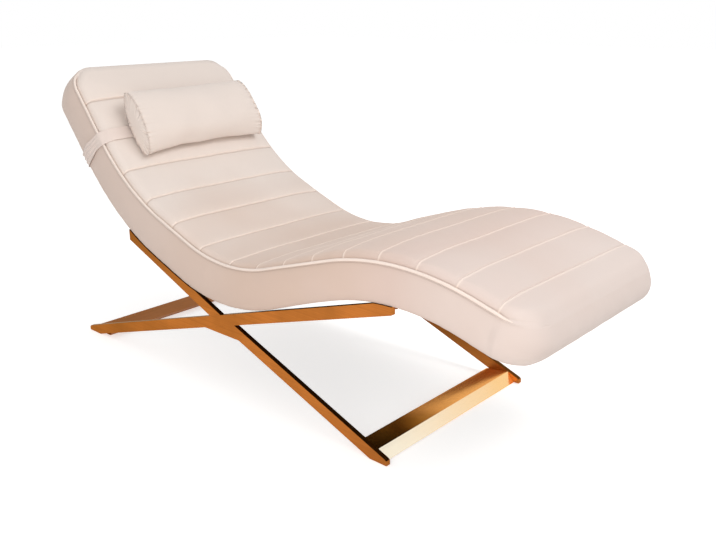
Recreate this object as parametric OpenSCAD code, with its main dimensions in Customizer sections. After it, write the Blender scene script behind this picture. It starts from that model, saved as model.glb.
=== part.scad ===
// Spa relaxation lounger: a wave-shaped, channel-quilted cushion on a crossed metal base,
// with a bolster headrest that slides along the backrest on an elastic strap.
// X runs from the head end to the foot end, Y across, Z up; the floor is Z = 0 and the
// origin is the centre of the footprint box.

/* [Cushion wave] */
// Width of the cushion between its two piped seams
cushion_w = 660; // [580:5:720]
// Height above the floor of the lowest point of the piped seam
seat_h = 410; // [395:5:450]
// Slope of the backrest, degrees
back_angle = 51.7; // [49:0.1:54]
// Straight length of the backrest along the seam
back_len = 271; // [250:1:290]
// Seam radius where the backrest turns into the lap
back_r = 703; // [660:1:760]
// Slope of the lap, degrees
lap_angle = 20.9; // [18.5:0.1:22.5]
// Straight length of the lap
lap_len = 134; // [120:1:150]
// Seam radius under the seat
seat_r = 535; // [500:5:580]
// Slope of the rise to the knees, degrees
rise_angle = 17.2; // [15.5:0.1:19]
// Straight length of the rise
rise_len = 248; // [230:2:270]
// Seam radius over the knees
knee_r = 782; // [730:2:840]
// Slope of the calf rest, degrees
calf_angle = 16; // [14:0.1:18]
// Straight length of the calf rest
calf_len = 157; // [140:1:190]

/* [Cushion section] */
// Depth of the side wall on the straight backrest
back_t = 124; // [112:1:128]
// Depth of the side wall under the lap and the seat
seat_t = 129; // [118:1:134]
// Depth of the side wall at the foot end
foot_t = 102; // [94:1:110]
// Radius of the four corners seen from above
corner_r = 85; // [70:5:100]
// Height of the rolled edge above the seam
edge_rise = 24; // [18:1:30]
// Distance from the seam over which the edge rolls up
edge_reach = 34; // [26:2:44]
// Further crown in the middle of the cushion
crown_rise = 9; // [4:1:14]
// How much flatter the edge and crown are in the seat, as a share
seat_flat_share = 0.33; // [0:0.01:0.5]
// Distance from the seam over which that crown builds up
crown_reach = 160; // [120:10:200]
// Number of quilted channels on the backrest
back_channels = 7; // [6:1:8]
// Width of one channel on the backrest, along the seam
back_pitch = 140; // [134:1:146]
// Number of quilted channels from the seat to the foot end
front_channels = 9; // [8:1:10]
// Width of one channel from the seat on, along the seam; the last one takes what is left
front_pitch = 115; // [110:1:116]
// Depth of the sewn seam between two channels
channel_depth = 5; // [2:0.5:8]
// Outward swell of the side wall
side_bulge = 9; // [4:1:11]
// How far the lower edge of the side wall is drawn in
side_tuck = 4; // [2:1:8]
// Outward swell of the end wall at the foot
foot_bulge = 26; // [12:1:30]
// Thickness of the padded side wall
boxing_t = 14; // [10:1:18]
// Thickness of the seam allowance under the quilted panel
seam_t = 2; // [1:0.5:3]
// Radius of the piping cord
piping_r = 4.5; // [3:0.5:5.5]

/* [Inner frame] */
// Thickness of the bent plywood shell
shell_t = 14; // [10:1:18]
// Thickness of the plywood ribs round the shell
rib_t = 18; // [12:1:21]
// Thickness of the soft foam layer under the quilting
topper_t = 20; // [14:1:26]
// Thickness of the cloth and board that close the underside
cover_t = 2; // [1.5:0.5:3]

/* [Base] */
// Depth of the leg bars in the plane of the side frame
leg_d = 34; // [30:1:40]
// Thickness of the leg bars across the lounger
leg_t = 15; // [12:1:20]
// How far a leg stands out past the seam
leg_proud = 0; // [0:0.5:6]
// Slope of the long cross leg, degrees
cross_leg_angle = 17.2; // [16:0.1:18.5]
// Slope of the lower front leg, degrees
front_leg_angle = 20.5; // [19.5:0.25:22]
// How far the front leg's line passes above the crossing of the other two
front_leg_lift = 6; // [2:0.5:8]
// Distance along the seam from the head end to where the cross leg meets the knee
knee_seat_s = 1540; // [1520:2:1560]
// Length of the cross leg that lies under the knee
knee_seat_len = 58; // [50:1:70]
// Distance along the seam from the head end to the top of the saddle leg
saddle_top_s = 530; // [510:2:550]
// Distance along the seam from the head end to the lower end of the saddle
saddle_low_s = 838; // [820:2:856]
// How far the saddle leg's straight edge rises past the chord of its saddle
saddle_rise = 2; // [1:0.5:4]
// Height of the web that fills the lower notch of the crossing
gusset_drop = 27; // [16:1:36]
// Height of the ridge of a floor bar
bar_ridge_h = 30; // [24:1:34]
// Height of the inner edge of a floor bar
bar_inner_h = 19; // [14:1:24]
// Width of the top face of a floor bar, from ridge to inner edge
bar_top_w = 78; // [64:1:86]
// Reach of the bevelled outer face of a floor bar
bar_nose_w = 24; // [20:1:32]
// Reach of the bevelled inner face of a floor bar
bar_back_w = 21; // [14:1:28]
// Wall of the folded floor bars
bar_wall = 3; // [2:0.5:5]
// Width of the toe's flat front
toe_h = 15; // [10:1:18]
// Radius of the rounded toe edges
toe_r = 5; // [2:0.5:7]
// Width of the cross rails under the shell
rail_w = 34; // [28:1:35]
// Thickness of the cross rails
rail_t = 8; // [6:1:12]
// Radius of the mounting bolts
bolt_r = 4; // [3:0.5:5]
// Distance of the outer bolts from the middle of a rail
bolt_pitch = 210; // [160:5:240]
// Thickness of the floor glides
glide_t = 2; // [1.5:0.5:4]
// Radius of the floor glides
glide_r = 14; // [10:1:18]

/* [Headrest] */
// Width of the bolster across the lounger
pillow_w = 486; // [440:2:520]
// Sideways offset of the bolster from the middle
pillow_shift = 12; // [0:2:40]
// Height of the bolster along the backrest
pillow_l = 236; // [200:4:250]
// Thickness of the bolster
pillow_t = 94; // [80:2:110]
// Tilt of the bolster away from the backrest at its upper edge, degrees
pillow_tilt = 10; // [0:1:13]
// Distance along the seam from the head end to the middle of the bolster
pillow_s = 283; // [276:1:292]
// Thickness of the bolster's cover
ticking_t = 2; // [1:0.5:3]
// How far the middle of the bolster's lower edge is drawn in
pillow_waist = 26; // [0:1:32]
// How far the bolster's end panels swell outwards
pillow_end_swell = 10; // [4:1:16]
// Width of the elastic strap
strap_w = 50; // [36:1:60]
// Thickness of the elastic strap
strap_t = 1.6; // [1:0.1:2.5]
// Length of strap sewn under each end of the bolster
strap_sewn = 46; // [30:2:70]
// Overlap of the two strap ends behind the backrest
strap_overlap = 110; // [80:5:160]
// Thickness of each fastening tape
tape_t = 1.2; // [0.8:0.1:2]
// Running gap between the strap and the cushion
strap_gap = 0.7; // [0.7:0.1:1]

/* [Hidden] */
$fn = 48;
// Overrun of every cut past the face it opens
over = 1;
fabric = [0.91, 0.85, 0.80];
foam = [0.95, 0.92, 0.78];
ply = [0.80, 0.66, 0.46];
gold = [0.74, 0.47, 0.24];
steel = [0.72, 0.72, 0.74];
black = [0.16, 0.15, 0.15];
white = [0.93, 0.91, 0.88];

half_w = cushion_w / 2;
floor_z = glide_t;

// The seam line: seven stretches, each with a length and a turn, from head to foot
function arc_len(r, a) = r * a * PI / 180;
seg_len = [
    back_len, arc_len(back_r, back_angle - lap_angle), lap_len,
    arc_len(seat_r, lap_angle + rise_angle), rise_len,
    arc_len(knee_r, rise_angle + calf_angle), calf_len
];
seg_turn = [0, back_angle - lap_angle, 0, lap_angle + rise_angle, 0, -(rise_angle + calf_angle), 0];
last_seg = len(seg_len) - 1;
function sum_to(v, n) = n <= 0 ? 0 : v[n - 1] + sum_to(v, n - 1);
seg_start = [for (i = [0:last_seg]) sum_to(seg_len, i)];
body_len = sum_to(seg_len, last_seg + 1);
seg_heading = [for (i = [0:last_seg]) sum_to(seg_turn, i) - back_angle];
function advance(p, a, l, t) = t == 0
    ? p + l * [cos(a), sin(a)]
    : p + l * 180 / (PI * t) * [sin(a + t) - sin(a), cos(a) - cos(a + t)];
function seg_point(i) = i == 0
    ? [0, 0]
    : advance(seg_point(i - 1), seg_heading[i - 1], seg_len[i - 1], seg_turn[i - 1]);
seg_pos = [for (i = [0:last_seg]) seg_point(i)];
function seg_at(s) = len([for (i = [1:last_seg]) if (seg_start[i] < s) i]);
function heading(s) = let (i = seg_at(s))
    seg_heading[i] + seg_turn[i] * (s - seg_start[i]) / seg_len[i];
function up(s) = [-sin(heading(s)), cos(heading(s))];
function seam(s) = let (i = seg_at(s), u = s - seg_start[i])
    advance(seg_pos[i], seg_heading[i], u, seg_turn[i] * u / seg_len[i]);

// Depth of the side wall, eased from the back to the lap and again from the seat to the knees
function clamp(x) = max(0, min(1, x));
function ease(x) = x * x * (3 - 2 * x);
function between(s, i, j) = ease(clamp((s - seg_start[i]) / (seg_start[j] - seg_start[i])));
function thick(s) = back_t + (seat_t - back_t) * between(s, 1, 2) + (foot_t - seat_t) * between(s, 3, 5);

// Outward offset of the side wall at a share of its depth
function wall_out(share) = side_bulge * sin(180 * share) - side_tuck * share;
wall_shares = [0, 0.2, 0.5, 0.8, 1];
// Further offset of the foot end's wall, which grows round each corner; turn is 0 on the side
function foot_out(share, turn) = (foot_bulge - side_bulge) * sin(180 * share) * sqrt(sin(turn));

// The body is set so that its footprint is centred and its seat is at the given height
seam_low = seam(seg_start[3] + arc_len(seat_r, lap_angle)).y;
function wall_x(s, side, share) = let (
    e = s + side * wall_out(share) + (side > 0 ? foot_out(share, 90) : 0)
) (seam(e) - thick(s) * share * up(e)).x;
x_low = min([for (f = wall_shares) wall_x(0, -1, f)]);
x_high = max([for (f = wall_shares) wall_x(body_len, 1, f)]);
shift = [-(x_low + x_high) / 2, seat_h - seam_low];
function at(s, w) = seam(s) + w * up(s) + shift;
function spot(s, v, w) = let (p = at(s, w)) [p.x, v, p.y];
function under(s) = at(s, -thick(s));

// Channels: one pitch down the backrest, another from the seat on, and what is left at the foot
channels = back_channels + front_channels;
back_run = back_channels * back_pitch;
function channel_start(i) = i < back_channels
    ? i * back_pitch
    : i < channels ? back_run + (i - back_channels) * front_pitch : body_len;
function channel_of(s) = s < back_run
    ? floor(s / back_pitch)
    : min(channels - 1, back_channels + floor((s - back_run) / front_pitch));
function channel_share(s) = let (i = channel_of(s))
    (s - channel_start(i)) / (channel_start(i + 1) - channel_start(i));
function puff(s) = sqrt(max(0, sin(180 * channel_share(s))));

// The flat rim that carries the piping, and the steps over which the edge rolls up inside it
rim_play = 1.2;
rim_w = 2 * piping_r + rim_play;
// Gap left where two layers lie on each other
lay_gap = 0.05;
roll_shares = [0, 0.12, 0.4, 1];
roll_gap = [for (f = roll_shares) rim_w + f * (edge_reach - rim_w)];

// Stations along the seam, closer at the corners and beside each sewn line
corner_shares = [0, 0.02];
corner_s = concat(
    [for (f = corner_shares) f * corner_r], roll_gap,
    [(edge_reach + corner_r) / 2, corner_r]
);
channel_shares = [0, 0.14, 0.5, 0.86];
station_gap = corner_r / 20;
middle_s = [
    for (i = [0:channels - 1]) for (f = channel_shares)
    let (s = channel_start(i) + f * (channel_start(i + 1) - channel_start(i)))
    if (s > corner_r + station_gap && s < body_len - corner_r - station_gap) s
];
corner_back = [for (i = [len(corner_s) - 1:-1:0]) body_len - corner_s[i]];
stations = concat(corner_s, middle_s, corner_back);
side_s = concat([corner_r], middle_s, [body_len - corner_r]);

// Place across the cushion of a line that keeps a distance e from the plan outline, and the
// distance of a point from that outline
function end_gap(s) = min(s, body_len - s);
function contour(s, e) = let (g = end_gap(s), d = corner_r - g)
    d <= 0 ? half_w - e
    : e < g ? half_w - corner_r + sqrt(max(0, (corner_r - e) * (corner_r - e) - d * d))
    : half_w - corner_r - (e - g);
function edge_gap(s, v) = let (a = corner_r - end_gap(s), b = corner_r - (half_w - abs(v)))
    a > 0 && b > 0 ? corner_r - norm([a, b]) : min(end_gap(s), half_w - abs(v));
function roll(x) = sqrt(max(0, 1 - (1 - clamp(x)) * (1 - clamp(x))));
function rolled(e) = clamp((e - rim_w) / (edge_reach - rim_w));
function swell(e) = edge_rise * roll(rolled(e))
    + crown_rise * sin(90 * clamp((e - rim_w) / (crown_reach - rim_w)));
function fullness(s) = 1 - seat_flat_share * between(s, 2, 3) * (1 - between(s, 4, 5));
function crown(s, v) = let (e = max(0, edge_gap(s, v)))
    swell(e) * fullness(s) - channel_depth * (1 - puff(s)) * rolled(e);
crown_top = edge_rise + crown_rise;

// Faces of a loft through rings of n points, as triangles
function loft_sides(rings, n) = [
    for (i = [0:rings - 2]) for (j = [0:n - 1])
    let (k = (j + 1) % n, a = i * n + j, b = i * n + k, c = a + n, d = b + n)
    each [[a, b, c], [b, d, c]]
];
function loft_caps(rings, n) = concat(
    [for (j = [0:n - 3]) [n - 1, j + 1, j]],
    [for (j = [0:n - 3]) [(rings - 1) * n + n - 1, (rings - 1) * n + j, (rings - 1) * n + j + 1]]
);
function loop_faces(rings, n) = [
    for (i = [0:rings - 1]) for (j = [0:n - 1])
    let (k = (j + 1) % n, m = (i + 1) % rings, a = i * n + j, b = i * n + k, c = m * n + j, d = m * n + k)
    each [[a, c, b], [b, c, d]]
];
module loft(rings) {
    n = len(rings[0]);
    polyhedron(
        points = [for (r = rings) each r],
        faces = concat(loft_sides(len(rings), n), loft_caps(len(rings), n)),
        convexity = 8
    );
}
function reversed(v) = [for (i = [len(v) - 1:-1:0]) v[i]];

// Quilted panel: rings across the cushion, crowned between the edges
across_gaps = concat([0], roll_gap, [crown_reach / 2]);
function across(s) = concat(
    [for (e = across_gaps) -contour(s, e)], [0], [for (e = reversed(across_gaps)) contour(s, e)]
);
function quilt_ring(s) = concat(
    [for (v = across(s)) spot(s, v, crown(s, v))],
    [spot(s, contour(s, 0), -seam_t), spot(s, -contour(s, 0), -seam_t)]
);
module quilted_top() {
    color(fabric) loft([for (s = stations) quilt_ring(s)]);
}

// Side walls: a ring at a place on the outline, looking outwards along [ds, dv]
function wall_ring(s, v, ds, dv, t, turn) = concat(
    [for (f = wall_shares) let (o = wall_out(f) + foot_out(f, turn))
        spot(s + ds * o, v + dv * o, -seam_t - (t - seam_t) * f)],
    [spot(s - ds * boxing_t, v - dv * boxing_t, -t), spot(s - ds * boxing_t, v - dv * boxing_t, -seam_t)]
);
module side_boxing(side) {
    rings = [for (s = side_s) wall_ring(s, side * half_w, 0, side, thick(s), 0)];
    color(fabric) loft(side > 0 ? rings : reversed(rings));
}
// An end wall turns both corners; end is -1 at the head and 1 at the foot
function corner_ring(end, side, a) = let (
    s0 = end < 0 ? corner_r : body_len - corner_r,
    ds = end * sin(a), dv = side * cos(a)
) wall_ring(
    s0 + ds * corner_r, side * (half_w - corner_r) + dv * corner_r, ds, dv,
    end < 0 ? back_t : foot_t, end < 0 ? 0 : a
);
corner_steps = 4;
corner_a = [for (i = [0:corner_steps]) 90 * i / corner_steps];
module end_boxing(end) {
    rings = concat(
        [for (a = corner_a) corner_ring(end, -1, a)],
        [for (a = reversed(corner_a)) corner_ring(end, 1, a)]
    );
    color(fabric) loft(end < 0 ? rings : reversed(rings));
}
module boxing_near() side_boxing(-1);
module boxing_far() side_boxing(1);
module boxing_head() end_boxing(-1);
module boxing_foot() end_boxing(1);

// Piping: a six-sided cord that stands on the seam, all the way round
pipe_w = piping_r * sin(60);
function pipe_ring(s, v, ds, dv) = [
    for (j = [0:5]) let (o = piping_r * (cos(60 * j) - 1), w = lay_gap + pipe_w + piping_r * sin(60 * j))
    spot(s + ds * o, v + dv * o, w)
];
// Its corners turn on the same stations as the quilted panel, from the side to the end
pipe_a = [for (s = reversed(corner_s)) asin((corner_r - s) / corner_r)];
function pipe_corner(end, side, a) = let (
    s0 = end < 0 ? corner_r : body_len - corner_r,
    ds = end * sin(a), dv = side * cos(a)
) pipe_ring(s0 + ds * corner_r, side * (half_w - corner_r) + dv * corner_r, ds, dv);
module piping_cord() {
    rings = concat(
        [for (s = middle_s) pipe_ring(s, half_w, 0, 1)],
        [for (a = pipe_a) pipe_corner(1, 1, a)],
        [for (a = reversed(pipe_a)) pipe_corner(1, -1, a)],
        [for (s = reversed(middle_s)) pipe_ring(s, -half_w, 0, -1)],
        [for (a = pipe_a) pipe_corner(-1, -1, a)],
        [for (a = reversed(pipe_a)) pipe_corner(-1, 1, a)]
    );
    color(fabric) polyhedron(
        points = [for (r = rings) each r],
        faces = loop_faces(len(rings), len(rings[0])),
        convexity = 8
    );
}

// Layers that follow the wave: a side profile pushed across, with rounded plan corners
module on_plane(s) {
    p = at(s, 0);
    translate([p.x, 0, p.y]) rotate([0, -heading(s), 0]) children();
}
module across_extrude(y0, y1) {
    translate([0, y1, 0]) rotate([90, 0, 0]) linear_extrude(y1 - y0) children();
}
module corner_fan(r) {
    // The same chords as the end walls, so that the faces meet
    polygon(concat([[0, 0]], [for (a = corner_a) r * [cos(a), sin(a)]]));
}
module corner_cut(r) {
    // What lies outside a corner; its first and last chords run on past the faces they cut
    past = r + over * tan(45 / corner_steps);
    big = r + over;
    polygon(concat(
        [[past, -over]], [for (i = [1:corner_steps - 1]) r * dir(corner_a[i])], [[-over, past]],
        [[-over, big], [big, big], [big, -over]]
    ));
}
module corner_cutters(inset) {
    r = corner_r - inset;
    y = half_w - corner_r;
    for (end = [-1, 1]) for (side = [-1, 1])
        on_plane(end < 0 ? corner_r : body_len - corner_r)
            scale([end, side, 1])
                translate([0, 0, -back_t - over])
                    linear_extrude(back_t + 2 * over) translate([0, y]) corner_cut(r);
}
function layer_s(inset) = concat([inset], middle_s, [body_len - inset]);
// Heights of the layers' faces, measured along the normal from the seam
function cover_top(s) = cover_t - thick(s);
function shell_top(s) = cover_t + shell_t - thick(s);
core_top = -seam_t - topper_t;
module layer(ss, top, low, y0, y1) {
    across_extrude(y0, y1) polygon(concat(
        [for (s = ss) at(s, top(s))],
        [for (s = reversed(ss)) at(s, low(s))]
    ));
}
module full_layer(inset, top, low) {
    difference() {
        layer(layer_s(inset), top, low, inset - half_w, half_w - inset);
        corner_cutters(inset);
    }
}
module foam_topper() {
    color(foam) full_layer(boxing_t, function(s) -seam_t - lay_gap, function(s) core_top);
}
module foam_core() {
    color(foam) difference() {
        full_layer(boxing_t + rib_t + lay_gap, function(s) core_top - lay_gap, function(s) shell_top(s));
        at_bolts() translate([0, 0, shell_inside])
            cylinder(r = nut_flange_r + nut_play, h = nut_flange_t + nut_play);
    }
}
module shell_panel() {
    color(ply) difference() {
        full_layer(boxing_t, function(s) shell_top(s) - lay_gap, function(s) cover_top(s));
        at_bolts() translate([0, 0, -over]) cylinder(r = nut_r, h = shell_inside + 2 * over);
    }
}
module underside_cover() {
    color(black) difference() {
        full_layer(boxing_t, function(s) cover_top(s) - lay_gap, function(s) -thick(s));
        at_bolts() translate([0, 0, -over]) cylinder(r = nut_r, h = cover_t + 2 * over);
    }
}
module side_rib(side) {
    y = half_w - boxing_t - lay_gap;
    color(ply) scale([1, side, 1])
        layer(side_s, function(s) core_top - lay_gap, function(s) shell_top(s), y - rib_t + lay_gap, y);
}
module rib_near() side_rib(-1);
module rib_far() side_rib(1);
module end_rib(end) {
    s0 = end < 0 ? boxing_t + lay_gap : body_len - boxing_t - rib_t;
    y = half_w - corner_r;
    color(ply)
        layer([s0, s0 + rib_t - lay_gap], function(s) core_top - lay_gap, function(s) shell_top(s), -y, y);
}
module rib_head() end_rib(-1);
module rib_foot() end_rib(1);
// Curved blocks that close the rib frame at its corners
module corner_blocks() {
    for (end = [-1, 1]) for (side = [-1, 1]) {
        s0 = end < 0 ? corner_r : body_len - corner_r;
        color(ply) on_plane(s0) scale([end, side, 1])
            translate([0, half_w - corner_r, shell_top(s0)])
                linear_extrude(core_top - lay_gap - shell_top(s0)) difference() {
                    corner_fan(corner_r - boxing_t);
                    corner_fan(corner_r - boxing_t - rib_t);
                }
    }
}

// Straight lines of the side frame: a point and a heading in the XZ plane
function dir(a) = [cos(a), sin(a)];
function shifted(p, a, d) = p + d * [-sin(a), cos(a)];
function meet(p, a, q, b) = let (
    u = dir(a), v = dir(b), c = u.x * v.y - u.y * v.x,
    k = ((q.x - p.x) * v.y - (q.y - p.y) * v.x) / c
) p + k * u;
function on_line(p, a, x) = [x, p.y + (x - p.x) * tan(a)];
leg_in = half_w + leg_proud - leg_t;
leg_out = half_w + leg_proud;

// Cross leg: from the floor at the head end up to the knee
cross_a = cross_leg_angle;
cross_top_p = under(knee_seat_s);
cross_low_p = shifted(cross_top_p, cross_a, -leg_d);
cross_end_x = cross_top_p.x + knee_seat_len;
cross_floor = meet(cross_low_p, cross_a, [0, floor_z], 0);
cross_tip = meet(cross_top_p, cross_a, [0, floor_z + toe_h], 0);

// Saddle leg: its edge is the chord of the saddle under the back, raised a little
saddle_a0 = under(saddle_top_s);
saddle_b0 = under(saddle_low_s);
saddle_a = atan2(saddle_b0.y - saddle_a0.y, saddle_b0.x - saddle_a0.x);
saddle_top_p = shifted(saddle_a0, saddle_a, saddle_rise);
saddle_low_p = shifted(saddle_top_p, saddle_a, -leg_d);
saddle_mid_p = shifted(saddle_top_p, saddle_a, -leg_d / 2);
saddle_end_x = saddle_a0.x - over;

// Front leg: from the crossing down to the floor at the foot end
cross_mid_p = shifted(cross_top_p, cross_a, -leg_d / 2);
crossing = meet(cross_mid_p, cross_a, saddle_mid_p, saddle_a);
front_a = -front_leg_angle;
front_mid_p = crossing + [0, front_leg_lift];
front_top_p = shifted(front_mid_p, front_a, leg_d / 2);
front_low_p = shifted(front_mid_p, front_a, -leg_d / 2);
front_floor = meet(front_low_p, front_a, [0, floor_z], 0);
front_tip = meet(front_top_p, front_a, [0, floor_z + toe_h], 0);

// Outline of everything above the underside, used to cope the legs to the cushion
module above_underside(s0, s1) {
    ss = concat([s0], [for (s = stations) if (s > s0 && s < s1) s], [s1]);
    polygon(concat(
        [for (s = ss) under(s)],
        [under(s1) + [0, back_t], under(s0) + [0, back_t]]
    ));
}
module leg_plate(side) {
    color(gold) across_extrude(side > 0 ? leg_in : -leg_out, side > 0 ? leg_out : -leg_in) children();
}
module toe_round(tip, end) {
    // A rounded front edge in place of the square corner of a foot
    r = min(toe_r, toe_h / 2);
    translate([tip.x - end * r, tip.y - r]) difference() {
        translate([end > 0 ? 0 : -r - over, 0]) square([r + over, r + over]);
        circle(r);
    }
}
module cross_leg(side) {
    top_end = on_line(cross_top_p, cross_a, cross_end_x);
    low_end = on_line(cross_low_p, cross_a, cross_end_x);
    leg_plate(side) difference() {
        polygon([cross_floor, [cross_tip.x, floor_z], cross_tip, top_end, low_end]);
        above_underside(knee_seat_s - knee_seat_len, knee_seat_s + 2 * knee_seat_len);
        toe_round(cross_tip, -1);
    }
}
module cross_leg_near() cross_leg(-1);
module cross_leg_far() cross_leg(1);
module saddle_leg(side) {
    low_end = on_line(saddle_low_p, saddle_a, saddle_end_x);
    top_end = on_line(saddle_top_p, saddle_a, saddle_end_x);
    leg_plate(side) difference() {
        polygon([
            low_end, meet(saddle_low_p, saddle_a, cross_top_p, cross_a),
            meet(saddle_top_p, saddle_a, cross_top_p, cross_a), top_end
        ]);
        above_underside(saddle_top_s - knee_seat_len, saddle_low_s + knee_seat_len);
    }
}
module saddle_leg_near() saddle_leg(-1);
module saddle_leg_far() saddle_leg(1);
module front_leg(side) {
    leg_plate(side) difference() {
        polygon([
            meet(front_low_p, front_a, cross_low_p, cross_a), front_floor, [front_tip.x, floor_z],
            front_tip, meet(front_top_p, front_a, cross_low_p, cross_a)
        ]);
        toe_round(front_tip, 1);
    }
}
module front_leg_near() front_leg(-1);
module front_leg_far() front_leg(1);
module gusset(side) {
    apex = meet(front_low_p, front_a, cross_low_p, cross_a);
    level = [0, apex.y - gusset_drop];
    leg_plate(side) polygon([
        apex, meet(cross_low_p, cross_a, level, 0), meet(front_low_p, front_a, level, 0)
    ]);
}
module gusset_near() gusset(-1);
module gusset_far() gusset(1);

// Floor bars: a folded section with its ridge on the legs' upper edges
front_ridge = meet(front_top_p, front_a, [0, floor_z + bar_ridge_h], 0);
rear_ridge = meet(cross_top_p, cross_a, [0, floor_z + bar_ridge_h], 0);
bar_fall = bar_ridge_h - bar_inner_h;
bar_top_run = sqrt(bar_top_w * bar_top_w - bar_fall * bar_fall);
function bar_outline() = [
    [0, 0], [bar_nose_w, -bar_ridge_h], [bar_back_w - bar_top_run, -bar_ridge_h], [-bar_top_run, -bar_fall]
];
// A convex outline moved inwards by a wall; the points run clockwise
function inset_outline(pts, d) = [
    for (i = [0:len(pts) - 1])
    let (a = pts[(i + len(pts) - 1) % len(pts)], b = pts[i], c = pts[(i + 1) % len(pts)],
        h1 = atan2(b.y - a.y, b.x - a.x), h2 = atan2(c.y - b.y, c.x - b.x))
    meet(shifted(a, h1, -d), h1, shifted(b, h2, -d), h2)
];
module floor_bar(ridge, end) {
    color(gold) translate([ridge.x, 0, ridge.y]) scale([end, 1, 1])
        across_extrude(-leg_in, leg_in) difference() {
            polygon(bar_outline());
            polygon(inset_outline(bar_outline(), bar_wall));
        }
}
module front_floor_bar() floor_bar(front_ridge, 1);
module rear_floor_bar() floor_bar(rear_ridge, -1);

// Cross rails: flat bars under the shell, each flush with one flat of the underside
rail_channels = [4, 5, 12];
function rail_at(i) = let (
    c = rail_channels[i], p = channel_start(c + 1) - channel_start(c),
    a = under(channel_start(c) + channel_shares[1] * p), b = under(channel_start(c) + channel_shares[2] * p)
) [(a + b) / 2, atan2(b.y - a.y, b.x - a.x)];
module at_rail(i) {
    r = rail_at(i);
    translate([r[0].x, 0, r[0].y]) rotate([0, -r[1], 0]) children();
}
bolt_y = [-bolt_pitch, 0, bolt_pitch];
module at_bolts() {
    for (i = [0:len(rail_channels) - 1]) at_rail(i) for (y = bolt_y) translate([0, y, 0]) children();
}
// Fasteners, measured from the underside: T-nuts in the shell, bolts through the rails; radii
// are shares of the bolt's
flange_share = 2.6;
washer_share = 2.2;
head_share = 1.6;
socket_share = 0.7;
shell_inside = cover_t + shell_t;
nut_play = 0.3;
nut_wall = 1.4;
nut_r = bolt_r + nut_wall;
nut_flange_r = bolt_r * flange_share;
bolt_play = 0.1;
washer_t = 1.6;
nut_flange_t = washer_t;
washer_r = bolt_r * washer_share;
head_r = bolt_r * head_share;
head_h = bolt_r;
socket_r = bolt_r * socket_share;
module rail(i) {
    color(gold) difference() {
        at_rail(i) translate([-rail_w / 2, -leg_in, -rail_t]) cube([rail_w, 2 * leg_in, rail_t - lay_gap]);
        at_bolts() translate([0, 0, -rail_t - over]) cylinder(r = bolt_r + bolt_play, h = rail_t + 2 * over);
    }
}
module back_cross_rail() rail(0);
module lap_cross_rail() rail(1);
module knee_cross_rail() rail(2);
module rail_bolts() {
    color(steel) at_bolts() difference() {
        union() {
            translate([0, 0, -rail_t - washer_t]) cylinder(r = bolt_r, h = rail_t + washer_t + shell_inside);
            translate([0, 0, -rail_t - washer_t - head_h]) cylinder(r = head_r, h = head_h);
        }
        translate([0, 0, -rail_t - washer_t - head_h - over])
            cylinder(r = socket_r, h = head_h / 2 + over, $fn = 6);
    }
}
module rail_washers() {
    color(steel) at_bolts() translate([0, 0, -rail_t - washer_t]) difference() {
        cylinder(r = washer_r, h = washer_t);
        translate([0, 0, -over]) cylinder(r = bolt_r + bolt_play, h = washer_t + 2 * over);
    }
}
module t_nuts() {
    color(steel) at_bolts() difference() {
        union() {
            translate([0, 0, cover_t]) cylinder(r = nut_r, h = shell_t);
            translate([0, 0, shell_inside]) cylinder(r = nut_flange_r, h = nut_flange_t);
        }
        translate([0, 0, cover_t - over])
            cylinder(r = bolt_r + bolt_play, h = shell_t + nut_flange_t + 2 * over);
    }
}

// Floor glides under the ends of both floor bars
glide_y = leg_in - glide_r * 2;
module floor_glides() {
    bar_mid = (bar_nose_w + bar_back_w - bar_top_run) / 2;
    for (p = [front_ridge.x + bar_mid, rear_ridge.x - bar_mid]) for (side = [-1, 1])
        color(black) translate([p, side * glide_y, 0]) cylinder(r = glide_r, h = glide_t);
}

// Headrest, in the plane of the backrest: x down the slope, z along the normal
module on_back() {
    on_plane(back_len) translate([pillow_s - back_len, 0, 0]) children();
}
strap_top = crown_top + strap_gap;
pillow_rest = strap_top + strap_t;
// The bolster sinks on to the strap by this share, and is less full towards its two long edges
sunk_share = 0.92;
thin_share = 0.12;
thin_power = 4;
pillow_mid = pillow_rest + pillow_t / 2 * sunk_share;
pillow_points = 20;
// The upper edge is drawn in by this share of the lower one
waist_share = 0.25;
// How far the cushion rises from the plane of the backrest at a place along the bolster's section
function back_rise(x) = let (d = max(0, pillow_s + x - back_len)) d * d / (2 * back_r);
// Section of the bolster, tilted and flattened where it rests on the strap and the cushion
function pillow_section(grow, waist) = [
    for (i = [0:pillow_points - 1])
    let (a = 360 * i / pillow_points, t = pillow_t / 2 + grow,
        l = pillow_l / 2 + grow - waist * (cos(a) > 0 ? 1 : waist_share),
        x = l * cos(a), z = t * sin(a) * (1 - pow(cos(a), thin_power) * thin_share),
        tx = x * cos(pillow_tilt) + z * sin(pillow_tilt), tz = z * cos(pillow_tilt) - x * sin(pillow_tilt))
    [tx, max(pillow_mid + tz, pillow_rest - grow + back_rise(tx))]
];
pillow_shares = [-1, -0.92, -0.6, -0.25, 0.25, 0.6, 0.92, 1];
taper_share = 0.97;
function pillow_end_taper(f) = abs(f) < 1 ? 1 : taper_share;
function pillow_ring(f, grow, half) = let (
    sec = pillow_section(grow, pillow_waist * (1 - f * f)), k = pillow_end_taper(f),
    mid = [0, pillow_mid]
) [for (p = sec) let (q = mid + k * (p - mid), low = pillow_rest - grow + back_rise(q.x))
    [q.x, pillow_shift + f * half, max(q.y, low)]];
function past_end(ring, d) = [for (p = ring) p + [0, d, 0]];
module pillow_body(grow, half, past) {
    rings = [for (f = pillow_shares) pillow_ring(f, grow, half)];
    last = rings[len(rings) - 1];
    loft(past > 0 ? concat([past_end(rings[0], -past)], rings, [past_end(last, past)]) : rings);
}
pillow_half = pillow_w / 2;
module pillow_fill() {
    color(white) on_back() pillow_body(-ticking_t, pillow_half - ticking_t, 0);
}
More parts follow.
